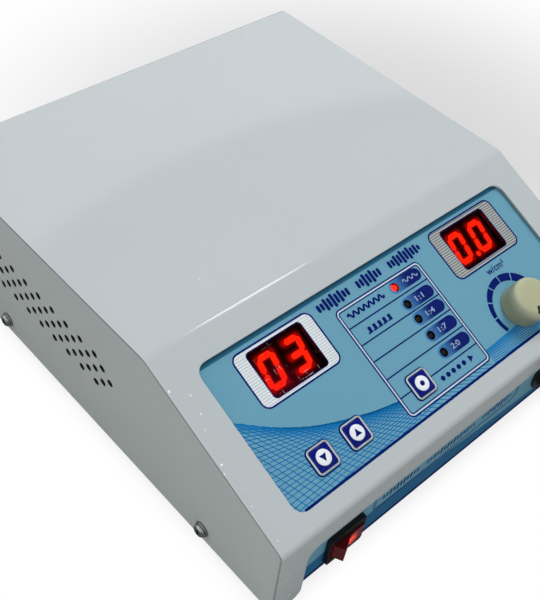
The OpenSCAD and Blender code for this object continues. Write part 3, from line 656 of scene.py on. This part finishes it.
def filter_film(name, scratched, red_reflection):
    """A dark glossy filter: looks straight through, with a soft reflection, fine scratches and a
    painted dark red reflection towards one corner.
    """
    g = Graph(name)
    lines = g.noise(140, 3, 0.6, g.stretch(9, 1, 1))
    more = g.noise(160, 3, 0.6, g.stretch(1, 8, 5))
    low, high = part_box("time_window")
    corner = g.math("ADD", g.step(g.at(X), high.x, low.x), g.step(g.at(Y), high.y, low.y))
    scratch = g.times(g.step(g.math("MAXIMUM", lines, more), 0.64, 0.70), scratched)
    scratch = g.times(scratch, g.step(g.noise(110, 2), 0.38, 0.56))
    scratch = g.times(scratch, g.step(corner, 0.5, 1.4, 0.25, 1.0))
    # painted reflection: dark red towards one corner
    painted_reflection = g.times(g.step(corner, 0.95, 1.7), red_reflection)
    clear = g.add("BsdfTransparent", {"Color": (0.45, 0.12, 0.12)}).outputs[0]
    gloss = g.add("BsdfGlossy", {"Color": (0.12, 0.12, 0.12), "Roughness": 0.05}).outputs[0]
    haze = g.add("BsdfDiffuse", {"Color": (0.80, 0.74, 0.76)}).outputs[0]
    red = g.add("BsdfDiffuse", {"Color": (0.30, 0.004, 0.03)}).outputs[0]
    back = g.add("NewGeometry").outputs["Backfacing"]
    fresnel = g.add("Fresnel", {"IOR": 1.4}).outputs[0]
    edge = g.times(fresnel, g.minus(1, back))
    look = g.add("MixShader", {0: edge, 1: clear, 2: gloss}).outputs[0]
    look = g.add("MixShader", {0: painted_reflection, 1: look, 2: red}).outputs[0]
    look = g.add("MixShader", {0: g.times(scratch, 0.45), 1: look, 2: haze})
    return g.finish(look.outputs[0])


def glow_face(name):
    """Black display face that catches the light of its own digits."""
    g = Graph(name)
    glow = g.add("Attribute", attribute_name="glow").outputs["Fac"]
    grain = g.noise(3000, 2)
    colour = shaded(g, (0.004, 0.004, 0.004), grain, 0.3)
    return g.surface(Base_Color=colour, Roughness=0.8, Specular_IOR_Level=0.02,
                     Emission_Color=(1, 0.06, 0.02), Emission_Strength=glow)


def rocker_red():
    """Translucent dark red moulding, lit from inside towards its middle, with painted shade
    towards its top and a painted highlight along its edges.
    """
    g = Graph("rocker_lit")
    low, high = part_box("switch_rocker")
    across = g.step(g.at(X), low.x, high.x)
    near = g.step(g.apart(across, 0.62), 0.34, 0.02)
    # the glow is kept to the middle of its height; its fading towards the top is painted shade
    up = g.step(g.at(Z), low.z, high.z)
    near = g.times(near, g.step(g.apart(up, 0.45), 0.46, 0.10))
    clouds = g.step(g.noise(260, 3, 0.6, g.stretch(1, 1, 2.5)), 0.36, 0.66)
    hot = g.times(clouds, near)
    # painted highlight: a faint glow along edges seen edge-on
    edge = g.add("LayerWeight", {"Blend": 0.25}).outputs["Facing"]
    colour = g.mix(hot, (0.05, 0.002, 0.003), (1.0, 0.06, 0.035))
    strength = g.math("ADD", g.times(hot, 1.5), g.times(edge, 0.10))
    return g.surface(Base_Color=colour, Roughness=0.12, Specular_IOR_Level=0.35,
                     Coat_Weight=0.3, Coat_Roughness=0.04, Emission_Color=(1, 0.04, 0.03),
                     Emission_Strength=strength)


def knob_ivory():
    """Aged greenish ivory moulding with faint handling marks low on its side, where painted shade
    also darkens it.
    """
    g = Graph("knob_ivory")
    outward = PANEL.to_3x3() @ Vector(Z) / MM
    height = g.minus(g.dot(g.place, outward), PANEL.translation.dot(outward))
    side = g.step(height, 9.5 * MM, 3.0 * MM)
    grime = g.step(g.noise(170, 4, 0.6), 0.50, 0.72)
    base = shaded(g, (0.42, 0.425, 0.275), g.noise(90, 4), 0.06)
    # painted shade low on the knob's side
    base = g.mix(g.times(side, 0.75), base, (0.20, 0.21, 0.125))
    base = g.mix(g.times(g.times(grime, side), 0.35), base, (0.30, 0.20, 0.08))
    fine = g.noise(1500, 3)
    return g.surface(Base_Color=base, Roughness=0.34, Specular_IOR_Level=0.4,
                     Coat_Weight=0.5, Coat_Roughness=0.16,
                     Subsurface_Weight=0.05, Subsurface_Scale=0.002,
                     Normal=g.bump(fine, 0.06))


def laminated():
    """A stack of thin iron sheets."""
    g = Graph("laminated_iron")
    sheets = g.math("SINE", g.times(g.at(Y), 2 * math.pi / (0.8 * MM)))
    patches = g.noise(60, 4)
    colour = shaded(g, (0.16, 0.16, 0.17), patches, 0.25)
    return g.surface(Base_Color=colour, Metallic=0.7, Roughness=0.5,
                     Normal=g.bump(sheets, 0.4))


def board_mask():
    """Green solder mask over copper tracks."""
    g = Graph("board_green")
    cells = g.add("TexBrick", {"Vector": g.place, "Scale": 160, "Mortar Size": 0.02})
    tracks = g.step(cells.outputs["Fac"], 0.2, 0.6)
    colour = g.mix(tracks, (0.01, 0.09, 0.035), (0.03, 0.20, 0.07))
    return g.surface(Base_Color=colour, Roughness=0.3, Coat_Weight=0.5,
                     Normal=g.bump(tracks, 0.2))


def front_label_material():
    """The front label: pale blue above, a darker blue wave below."""
    g = Graph("front_label_film")
    across = g.times(g.at(X), 1 / MM)
    height = g.times(g.minus(g.at(Z), FLOOR_Z), 1 / MM)
    swell = g.times(g.math("SINE", g.math("MULTIPLY_ADD", across, 0.028, 2.6)), 4.0)
    below = g.minus(g.math("ADD", swell, 9.0), height)
    patches = g.noise(30, 4, 0.6)
    sky = shaded(g, SKY_BLUE, patches, 0.05)
    inside = g.step(below, -0.2, 0.3)
    stripes = g.math("SINE", g.times(below, 2 * math.pi / 1.3))
    deep = g.mix(g.step(stripes, 0.2, 0.9, 0, 0.6), (0.004, 0.11, 0.26), (0.03, 0.22, 0.40))
    colour = g.mix(inside, sky, deep)
    return g.film(colour, 0.12, 0.1)


# finishes of the script's own pieces
MAT = {
    "navy": ink("navy_ink", NAVY),
    "wave": ink("wave_ink", (0.002, 0.150, 0.410)),
    "pale": ink("pale_ink", (0.27, 0.37, 0.52)),
    # both surrounds are one silver ink: the left copy is painted lighter with more sparkle and the
    # right one darker, as painted light and shade
    "silver_l": bezel_silver("bezel_silver_left", (0.88, 0.91, 0.93), (0.58, 0.65, 0.70), 0.6),
    "silver_r": bezel_silver("bezel_silver_right", (0.55, 0.57, 0.56), (0.13, 0.15, 0.15), 0.1),
    "border": ink("border_silver", (0.50, 0.58, 0.66)),
    "pill": pill_blue(),
    "white": ink("key_white", (0.78, 0.80, 0.84)),
    "key": finish("key_navy", (0.002, 0.008, 0.16), 0.3, coat=0.22, bump=0.05,
                  Specular_IOR_Level=0.06),
    "chrome": finish("chrome_rim", (0.98, 0.985, 1.0), 0.30, metal=1.0, bump=0.0,
                     spread=0.03),
    "lit_time": lit("time_lit", (1.0, 0.21, 0.04), 5.8, 0.04),
    "lit_intensity": lit("intensity_lit", (1.0, 0.21, 0.04), 5.8, 0.04),
    "face": glow_face("display_face"),
}

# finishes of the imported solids, and the nodes that take them
FINISHES = (
    (MAT["key"], "down_key up_key select_key"),
    (MAT["chrome"], "down_key_rim up_key_rim select_key_rim probe_socket_nut"),
    (cover_paint(), "top_cover"),
    (panel_paint("panel_paint"), "rear_panel"),
    (panel_paint("side_panel_paint", True), "left_side_panel right_side_panel"),
    (label_material(), "control_label"),
    (front_label_material(), "front_label"),
    (finish("plated_steel", (0.58, 0.59, 0.60), 0.34, metal=1.0, bump=0.12, brushed=(1, 6, 6)),
     "base_chassis control_plate potentiometer_nut switch_terminals mains_inlet_pins "
     "control_shaft"),
    (bright_screw(), "side_screws side_screw_washers foot_screws m3_screws"),
    (finish("brass", (0.62, 0.44, 0.16), 0.3, metal=1.0),
     "board_standoffs potentiometer_bush probe_socket_contacts"),
    (finish("aluminium", (0.66, 0.67, 0.69), 0.36, metal=1.0, brushed=(8, 1, 8)), "heatsink"),
    (finish("black_moulding", (0.010, 0.010, 0.011), 0.45, bump=0.2, grain=2200, spread=0.25,
            Specular_IOR_Level=0.2),
     "time_display intensity_display microcontroller key_switches switch_housing "
     "probe_socket_insert mains_inlet fuse_holder fuse_cap output_transistors buzzer"),
    (finish("socket_collar", (0.022, 0.022, 0.024), 0.3, metal=0.6, bump=0.15),
     "probe_socket_shell"),
    (finish("foot_rubber", (0.018, 0.018, 0.018), 0.75, bump=0.4, grain=1600, spread=0.3),
     "rubber_feet"),
    (finish("gasket_foam", (0.03, 0.035, 0.04), 0.9, bump=0.6, grain=3000, spread=0.3),
     "panel_gasket"),
    (lit("lamp_lit", (1.0, 0.018, 0.008), 1.5), "continuous_led"),
    (finish("lamp_dark", (0.006, 0.003, 0.004), 0.15, bump=0.03, Specular_IOR_Level=0.3),
     "pulse_leds"),
    (knob_ivory(), "intensity_knob"),
    (finish("pointer_black", (0.012, 0.012, 0.012), 0.45, bump=0.15), "knob_pointer"),
    (rocker_red(), "switch_rocker"),
    (filter_film("time_filter", 1.0, 0.10), "time_window"),
    (filter_film("intensity_filter", 0.12, 0.0), "intensity_window"),
    (board_mask(), "display_board main_board"),
    (laminated(), "transformer_core"),
    (finish("winding_tape", (0.38, 0.17, 0.05), 0.45, coat=0.3, bump=0.3, grain=900),
     "potentiometer transformer_winding"),
    (finish("capacitor_sleeve", (0.015, 0.03, 0.12), 0.3, coat=0.5), "filter_capacitors"),
    (finish("fuse_glass", (0.75, 0.80, 0.82), 0.08, coat=1.0, bump=0.02, Alpha=0.5), "fuse"),
    (finish("ribbon_grey", (0.42, 0.42, 0.44), 0.5, bump=0.5, brushed=(9, 1, 1)),
     "ribbon_cable"),
    (finish("wire_brown", (0.20, 0.08, 0.03), 0.4), "mains_wires"),
    (finish("lead_black", (0.02, 0.02, 0.02), 0.5, bump=0.15), "probe_lead"),
)

# width of the rounding in millimetres, its segments, the least bend it takes, and the nodes
EDGES = (
    (0.22, 2, 35, "top_cover"),
    (0.15, 2, 35, "left_side_panel right_side_panel"),
    (0.12, 2, 35, "side_screws side_screw_washers foot_screws m3_screws down_key up_key "
                  "select_key"),
    (0.3, 2, 35, "switch_housing mains_inlet fuse_cap fuse_holder rubber_feet"),
    (0.5, 3, 20, "switch_rocker"),
    (0.2, 2, 40, "intensity_knob"),
    (0.05, 2, 35, "knob_pointer"),
    (0.35, 3, 35, "probe_socket_shell"),
    (0.1, 1, 35, "base_chassis pulse_leds continuous_led control_shaft heatsink buzzer "
                 "filter_capacitors transformer_core transformer_winding panel_gasket "
                 "mains_inlet_pins"),
)

for material, names in FINISHES:
    paint(material, names)
for width, segments, angle, names in EDGES:
    soften(names, width, segments, angle)

# ---------- printed label ----------


# name, middle of the window, width and height of the surround, its shift to the side, and finish
BEZELS = (("time", TIME_AT, 38.7, 23.3, -0.05, "silver_l"),
          ("intensity", INTENSITY_AT, 40.0, 23.8, 0, "silver_r"))


def bezels():
    """Silver surrounds of the two windows, each with its navy outline."""
    for name, (u, v), w, h, shift, key in BEZELS:
        art = Print(PANEL, 2)
        inner = rounded(u, v, WINDOW[0] - 0.25, WINDOW[1] - 0.25, 1.9)
        art.band(rounded(u + shift, v, w, h, 3.4), inner, True)
        art.make(name + "_bezel_print", key)
        line = Print(PANEL, 3)
        line.outline(u + shift, v, w, h, 3.5, 0.7)
        line.outline(u, v, WINDOW[0] - 0.45, WINDOW[1] - 0.45, 1.9, 0.25)
        line.make(name + "_bezel_outline", "navy")


RULES = (29.9, 37.6, 45.1, 53.2, 61.8)      # the lines under the table's rows
RULE_W = 0.55
LAMP_HOLE = 1.97            # radius of the hole round a lamp
PILL_R, PILL_END = 2.75, 19.05      # radius of a pill's ends, and the middle of its right end


def table():
    """The mode table: a triple border, rows and pills."""
    cx, cy, w, h = TABLE
    silver = Print(PANEL, 4)
    silver.outline(cx, cy, w - 1.15, h - 1.15, 2.1, 0.62)
    silver.make("table_border_silver", "border")
    navy = Print(PANEL, 3)
    navy.outline(cx, cy, w, h, 2.6, 0.58)
    navy.outline(cx, cy, w - 2.4, h - 2.4, 1.6, 0.5)
    left, right = cx - w / 2 + 1.6, cx + w / 2 - 1.6
    for v in RULES[:-1]:
        navy.stroke([(left, v), (right, v)], RULE_W)
    key, last = KEYS["select"][0], RULES[-1]
    navy.stroke([(left, last), (key - KEY_GAP, last)], RULE_W)
    navy.stroke([(key + KEY_GAP, last), (right, last)], RULE_W)
    navy.make("table_lines_print", "navy")
    pills = Print(PANEL, 4)
    for v in ROWS:
        pills.band(circle(LED_U, v, PILL_R, 24), circle(LED_U, v, LAMP_HOLE, 24), True)
        right = arc(PILL_END, v, PILL_R, -90, 90, 10)
        notch = arc(LED_U, v, PILL_R + 0.01, 90, -90, 14)[1:-1]
        pills.fill([(LED_U, v - PILL_R)] + right + [(LED_U, v + PILL_R)] + notch)
    pills.make("pill_print", "pill")


def wave_icon(art, cx, cy, width, height, turns, line):
    """A plain sine wave."""
    n = int(turns * 12)
    points = [(i / n, math.sin(2 * math.pi * turns * i / n)) for i in range(n + 1)]
    art.stroke([(cx + width * (t - 0.5), cy - height / 2 * swing) for t, swing in points], line)


def pulse_icon(art, cx, cy, width, height, count, line):
    """A row of square pulses."""
    pitch = width / count
    top, foot = cy - height / 2, cy + height / 2
    for k in range(count):
        x = cx - width / 2 + k * pitch
        a, b = x + pitch * 0.3, x + pitch * 0.85
        art.stroke([(x, foot), (a, foot)], line)
        art.fill([(a, foot + line / 2), (a, top), (b, top), (b, foot + line / 2)])


def bursts(art, spans, cy, height, stem):
    """Bursts drawn as upright bars that swell and fade; a span is its ends and its bars."""
    for x0, x1, count in spans:
        for k in range(count):
            t = (k + 0.5) / count
            tall = height * (0.45 + 0.55 * math.sin(math.pi * t)) * (0.72 if k % 2 else 1.0)
            art.fill(rounded(x0 + (x1 - x0) * t, cy, stem, tall, stem / 2 - 0.01, 3))


def label_marks():
    """Generic marks in navy and pale ink."""
    navy = Print(PANEL, 5)
    bursts(navy, ((-28.4, -11.2, 9), (-7.2, 6.4, 7), (10.8, 29.6, 10)), 17.2, 6.0, 1.45)
    wave_icon(navy, -9.1, ROWS[0], 19.6, 1.9, 7, 0.85)
    pulse_icon(navy, -9.0, ROWS[1], 13.6, 2.3, 5, 0.6)
    for k in range(5):
        navy.fill(circle(-0.6 + 3.1 * k, 65.0, 1.05, 16))
    navy.fill([(14.9, 63.5), (17.3, 65.0), (14.9, 66.5)])
    navy.words("w/cm²", 54.8, 41.4, 10.9, 3.1)
    navy.make("label_marks_print", "navy")
    pale = Print(PANEL, 6)
    wave_icon(pale, 16.0, ROWS[0], 8.2, 1.5, 3, 0.4)
    for v, body in zip(ROWS[1:], ("1:1", "1:4", "1:7", "2:0")):
        pale.words(body, 14.0, v, 4.6 if body != "1:1" else 4.2, 2.35)
    pale.make("pill_numerals", "pale")


def dial_ring():
    """Eight segments that grow thicker clockwise round the knob."""
    art = Print(PANEL, 3)
    cx, cy = KNOB_AT[0] + 0.2, KNOB_AT[1] - 1.0
    outer = 14.6
    start, span, count = -116.0, 29.0, 8
    for k in range(count):
        a0 = start + k * span + 1.2
        a1 = start + (k + 1) * span - 1.2
        rim, bore = [], []
        for i in range(9):
            a = a0 + (a1 - a0) * i / 8
            thick = 1.7 + 3.0 * (a - start) / (span * count)
            s, c = math.sin(math.radians(a)), math.cos(math.radians(a))
            rim.append((cx + outer * s, cy - outer * c))
            bore.append((cx + (outer - thick) * s, cy - (outer - thick) * c))
        art.band(rim, bore)
    art.make("dial_ring_print", "navy")


def label_edge():
    """Navy line along the label's lower edge."""
    art = Print(PANEL, 3)
    art.stroke([(-80, 72.9), (80, 72.9)], 0.9)
    art.make("label_edge_line", "navy")


def front_art():
    """Title box and lower line of the front label."""
    navy = Print(FRONT, 1, 0.0, False)
    cx, cy, w, h = -2.8, 17.2, 87.8, 11.2
    navy.outline(cx, cy, w, h, 4.2, 0.45)
    navy.outline(cx, cy, w - 2.2, h - 2.2, 3.2, 0.35)
    bursts(navy, ((-42, -21, 11), (-17, 13, 15), (17, 37, 10)), cy, 4.8, 1.0)
    navy.stroke([(-86, 1.1), (86, 1.1)], 2.2)
    navy.make("front_marks_print", "navy")


bezels()
table()
label_marks()
dial_ring()
label_edge()
wave_lines().make("wave_lines_print", "wave")
front_art()

# ---------- keys ----------

KEY_HALF = 4.25             # half width of the key's face, inside its rim
KEY_CORNER = 1.2            # radius of the face's corners
FACE_H = LABEL_H + 0.55     # edge of the domed face
FACE_RISE = 0.55
RIM_W, RIM_H = 0.85, 0.45   # breadth of the rim over both sides, and half its height
DISC_R = 3.05


def face_height(x, y):
    """Height of the domed key face at a distance from its middle."""
    fall = 1 - min(1.0, (x / KEY_HALF) ** 2)
    return FACE_H + FACE_RISE * (fall * (1 - min(1.0, (y / KEY_HALF) ** 2))) ** 0.45


def skin(name, loops, key, body, close=False):
    """A solid over a row of matching loops: capped at both ends, or closed into a ring."""
    bm = bmesh.new()
    rows = [[bm.verts.new(PANEL @ Vector(p)) for p in loop] for loop in loops]
    n = len(rows[0])
    for a, b in zip(rows, rows[1:] + rows[:1] if close else rows[1:]):
        for i in range(n):
            j = (i + 1) % n
            bm.faces.new((a[i], a[j], b[j], b[i]))
    if not close:
        bm.faces.new(rows[-1])
        bm.faces.new(list(reversed(rows[0])))
    for face in bm.faces:
        face.smooth = True
    bmesh.ops.recalc_face_normals(bm, faces=bm.faces)
    return add_piece(name, bm, key, body)


def square_loop(u, v, width, radius, height=None):
    """A rounded square on the key, at one height or on its domed face."""
    loop = []
    for x, y in rounded(0, 0, width, width, radius):
        loop.append((u + x, -v + y, face_height(x, y) if height is None else height))
    return loop


def key_cap(name):
    """A domed navy face inside a raised bright rim, with a white disc and its mark."""
    u, v = KEYS[name]
    body = name + "_button"
    face = [square_loop(u, v, 2 * KEY_HALF, KEY_CORNER, FACE_H - 0.3)]
    for k in range(14):
        width = 2 * KEY_HALF * (1 - 0.015 - 0.07 * k)
        face.append(square_loop(u, v, width, max(KEY_CORNER * width / 9, 0.02)))
    skin(name + "_key_face", face, "key", body)
    rim = []
    for i in range(12):
        a = 2 * math.pi * i / 12
        width = KEY_W - RIM_W + RIM_W * math.cos(a)
        height = LABEL_H + RIM_H + RIM_H * math.sin(a)
        rim.append(square_loop(u, v, width, 1.35 + RIM_H * math.cos(a), height))
    ring = skin(name + "_key_bezel", rim, "chrome", body, True)
    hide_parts(name + "_key_rim")
    icon(name, u, v, body)


def icon(name, u, v, body):
    """The white disc and its mark, laid on the domed face."""
    disc = [disc_loop(u, v, DISC_R, -0.02)]
    disc += [disc_loop(u, v, DISC_R * k / 5, 0.03) for k in range(5, 0, -1)]
    skin(name + "_key_disc", disc, "white", body)
    if name == "select":
        mark = [disc_loop(u, v, r, 0.05) for r in (1.05, 0.6, 0.2)]
    else:
        sign = 1 if name == "down" else -1
        corners = ((-1.55, sign * 1.15), (1.55, sign * 1.15), (0, -sign * 1.65))
        mark = [[(u + x * k, -v + y * k, face_height(x * k, y * k) + 0.06) for x, y in corners]
                for k in (1.0, 0.5, 0.1)]
    skirt = [(x, y, z - 0.05) for x, y, z in mark[0]]
    skin(name + "_key_mark", [skirt] + mark, "navy", body)


def disc_loop(u, v, radius, lift):
    """A circle on the key's domed face, lifted off it a little."""
    return [(u + x, -v + y, face_height(x, y) + lift) for x, y in circle(0, 0, radius, 36)]


def key_outlines():
    """A thin navy line round each key's hole."""
    art = Print(PANEL, 3)
    for u, v in KEYS.values():
        art.outline(u, v, KEY_W + 0.95, KEY_W + 0.95, 2.3, 0.4)
    art.make("key_outline_print", "navy")


for name in KEYS:
    key_cap(name)
key_outlines()

# ---------- digits ----------

DIGIT_H, DIGIT_W, STROKE = 14.2, 8.6, 2.45
LEAN = math.tan(math.radians(8.5))
PITCH = 12.7
SHAPES = {"0": "abcdef", "3": "abcdg"}      # the lit segments of a digit
FACE = (25.3, 18.9)                         # a display's face


def segment_lines():
    """Middle line of each segment, for one digit about its own middle."""
    x, y = (DIGIT_W - STROKE) / 2, (DIGIT_H - STROKE) / 2
    return {"a": ((-x, y), (x, y)), "b": ((x, y), (x, 0)), "c": ((x, 0), (x, -y)),
            "d": ((-x, -y), (x, -y)), "e": ((-x, 0), (-x, -y)), "f": ((-x, y), (-x, 0)),
            "g": ((-x, 0), (x, 0))}


def segment_outline(p, q, cx, cy):
    """A bar with rounded points between two corners, leaning with the digit."""
    gap, blunt = 0.06, 0.12
    length = math.hypot(q[0] - p[0], q[1] - p[1])
    dx, dy = (q[0] - p[0]) / length, (q[1] - p[1]) / length
    half = STROKE / 2
    end = [(gap, blunt), (gap + half * 0.4, half * 0.72), (gap + half * 0.88, half)]
    edge = end + [(length - along, side) for along, side in reversed(end)]
    out = []
    for along, side in edge + [(along, -side) for along, side in reversed(edge)]:
        x = p[0] + dx * along - dy * side
        y = p[1] + dy * along + dx * side
        out.append((cx + x + y * LEAN, cy - y))
    return out


def display(kind, at, digits, point):
    """The lit segments of one display and the glow on its face."""
    on = Print(PANEL, 3, DISPLAY_H)
    lines = segment_lines()
    lit_lines = []
    for k, digit in enumerate(digits):
        cx = at[0] + (k - 0.5) * PITCH
        for key, (p, q) in lines.items():
            if key in SHAPES[digit]:
                on.fill(segment_outline(p, q, cx, at[1]))
                lit_lines.append([(cx + x + y * LEAN, at[1] - y) for x, y in (p, q)])
    dot = (at[0] - 0.2, at[1] + DIGIT_H / 2 - 1.0)
    if point:
        on.fill(circle(*dot, 1.15, 20))
        lit_lines.append([dot, (dot[0] + 0.01, dot[1])])
    lit_obj = on.make(kind + "_lit_segments", "lit_" + kind, "lit_red")
    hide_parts(kind + "_segments")
    glow_grid(kind, at, lit_lines)


def distance(p, a, b):
    """Distance from a point to a straight run."""
    ax, ay = b[0] - a[0], b[1] - a[1]
    t = ((p[0] - a[0]) * ax + (p[1] - a[1]) * ay) / (ax * ax + ay * ay)
    t = min(1.0, max(0.0, t))
    return math.hypot(p[0] - a[0] - t * ax, p[1] - a[1] - t * ay)


def glow_grid(kind, at, lit_lines):
    """A fine sheet over the display's face that holds how much light each place catches."""
    art = Print(PANEL, 1, DISPLAY_H)
    nx, ny = 64, 46
    grid, glow = [], []
    for j in range(ny + 1):
        for i in range(nx + 1):
            p = (at[0] + FACE[0] * (i / nx - 0.5), at[1] + FACE[1] * (j / ny - 0.5))
            grid.append(art.vert(p))
            near = min(distance(p, a, b) for a, b in lit_lines)
            edge = max(near - STROKE / 2, 0)
            # a narrow fringe and a wide haze
            glow.append(1.2 * math.exp(-edge / 0.32) + 0.30 * math.exp(-edge / 0.95))
    for j in range(ny):
        for i in range(nx):
            k = j * (nx + 1) + i
            art.face([grid[k], grid[k + 1], grid[k + nx + 2], grid[k + nx + 1]])
    obj = add_piece(kind + "_display_face", art.bm, "face", ROOT)
    values = obj.data.attributes.new("glow", "FLOAT", "POINT")
    values.data.foreach_set("value", glow)


display("time", TIME_AT, "03", False)
display("intensity", INTENSITY_AT, "00", True)

# ---------- floor, lights, camera ----------

SHADE_AT = (0.12, 0.05, 0)      # middle of the soft shade behind the unit
FLOOR_HALF = 6.0


def floor_material():
    """A white paper floor: a soft shade behind the unit and a close one all round it."""
    g = Graph("studio_floor")
    ray = g.add("LightPath").outputs
    offset = g.add("VectorMath", {0: g.place, 1: SHADE_AT}, operation="SUBTRACT").outputs[0]
    away = g.add("VectorMath", {0: offset}, operation="LENGTH").outputs["Value"]
    shade = g.step(away, 0.07, 0.28, 0.30, 0.0)
    across = g.at(X)
    shade = g.times(shade, g.step(across, -0.11, 0.0))
    shade = g.times(shade, g.step(g.at(Y), -0.13, 0.0))
    shade = g.minus(1, shade)
    close = g.add("AmbientOcclusion", {"Distance": 0.010}, samples=24).outputs["AO"]
    close = g.math("POWER", close, g.step(across, -0.105, -0.085, 0.12, 0.55))
    paper = g.math("MULTIPLY_ADD", g.noise(3, 3), 0.006, 1.0)
    level = g.times(g.times(shade, close), paper)
    seen = g.add("Emission", {"Color": (1, 1, 1), "Strength": level}).outputs[0]
    bounce = g.mix(ray["Is Glossy Ray"], (0.76, 0.76, 0.72), (0.20, 0.20, 0.20))
    dull = g.add("BsdfDiffuse", {"Color": bounce}).outputs[0]
    return g.finish(g.add("MixShader", {0: ray["Is Camera Ray"], 1: dull, 2: seen}).outputs[0])


def make_floor():
    bm = bmesh.new()
    corners = ((-1, -1), (1, -1), (1, 1), (-1, 1))
    bm.faces.new([bm.verts.new((x * FLOOR_HALF, y * FLOOR_HALF, 0)) for x, y in corners])
    floor = add_mesh("floor", bm, floor_material())
    floor.location.z = cad_bounds[0].z - 0.0002


def area_light(name, place, aim, size, power):
    data = bpy.data.lights.new(name, "AREA")
    data.size = size
    data.energy = power
    lamp = add_object(name, data)
    lamp.location = place
    lamp.visible_glossy = False
    lamp.rotation_euler = (Vector(aim) - Vector(place)).to_track_quat("-Z", "Y").to_euler()


WALL_DIM, WALL_BRIGHT, CEILING_LEVEL = 0.45, 1.05, 0.18
CEILING = (0.404, 0.076, 0.912)     # towards the middle of the dark patch overhead
CEILING_EDGE = 0.811                # cosine of the patch's half angle
SPOT = (0.493, 0.176, 0.852)        # towards a small far lamp, seen only as a glint


def set_world():
    """A bright studio wall all round, brightest behind and to the right, and a dark ceiling."""
    g = Graph("studio", bpy.data.worlds, "OutputWorld", "Generated")
    behind = g.step(g.at((-0.2, 0.8, 0.5)), -0.6, 0.8, WALL_DIM, WALL_BRIGHT)
    lift = g.step(g.at(Z), -0.1, 0.45, 0.55, 1.0)
    towards = g.at(Vector(CEILING).normalized())
    cap = g.step(towards, CEILING_EDGE - 0.006, CEILING_EDGE + 0.006, 1.0, CEILING_LEVEL)
    spot = g.step(g.at(SPOT), math.cos(0.085), math.cos(0.05), 0.0, 9.0)
    wall = g.math("ADD", g.times(g.times(behind, lift), cap), spot)
    glow = g.add("Background", {"Color": (0.955, 0.985, 1.0), "Strength": wall})
    bpy.context.scene.world = g.finish(glow.outputs[0])


CAMERA_AT = (-222.8, -95.37, 323.55)    # across, from the front face, above the chassis floor
LOOK_ACROSS, LOOK_DOWN, ROLL = 47.337, 46.252, -7.159
LENS = 57.868


def make_camera():
    data = bpy.data.cameras.new("camera")
    data.lens = LENS
    camera = add_object("camera", data)
    across, down = math.radians(LOOK_ACROSS), math.radians(LOOK_DOWN)
    forward = Vector((math.sin(across) * math.cos(down), math.cos(across) * math.cos(down),
                      -math.sin(down)))
    right = forward.cross(Vector(Z)).normalized()
    right = Matrix.Rotation(math.radians(ROLL), 3, forward) @ right
    up = right.cross(forward)
    turn = Matrix((right, up, -forward)).transposed().to_4x4()
    x, y, z = CAMERA_AT
    place = Vector((x * MM, FRONT_Y + y * MM, FLOOR_Z + z * MM))
    camera.matrix_world = Matrix.Translation(place) @ turn
    bpy.context.scene.camera = camera


make_floor()
set_world()
area_light("key", (0.45, 0.06, 1.10), (0, 0, 0.03), 0.45, 6.8)
area_light("fill", (-0.28, -0.50, 0.60), (-0.03, -0.03, 0.06), 0.2, 0.55)
make_camera()
bpy.context.scene.view_settings.view_transform = "Standard"
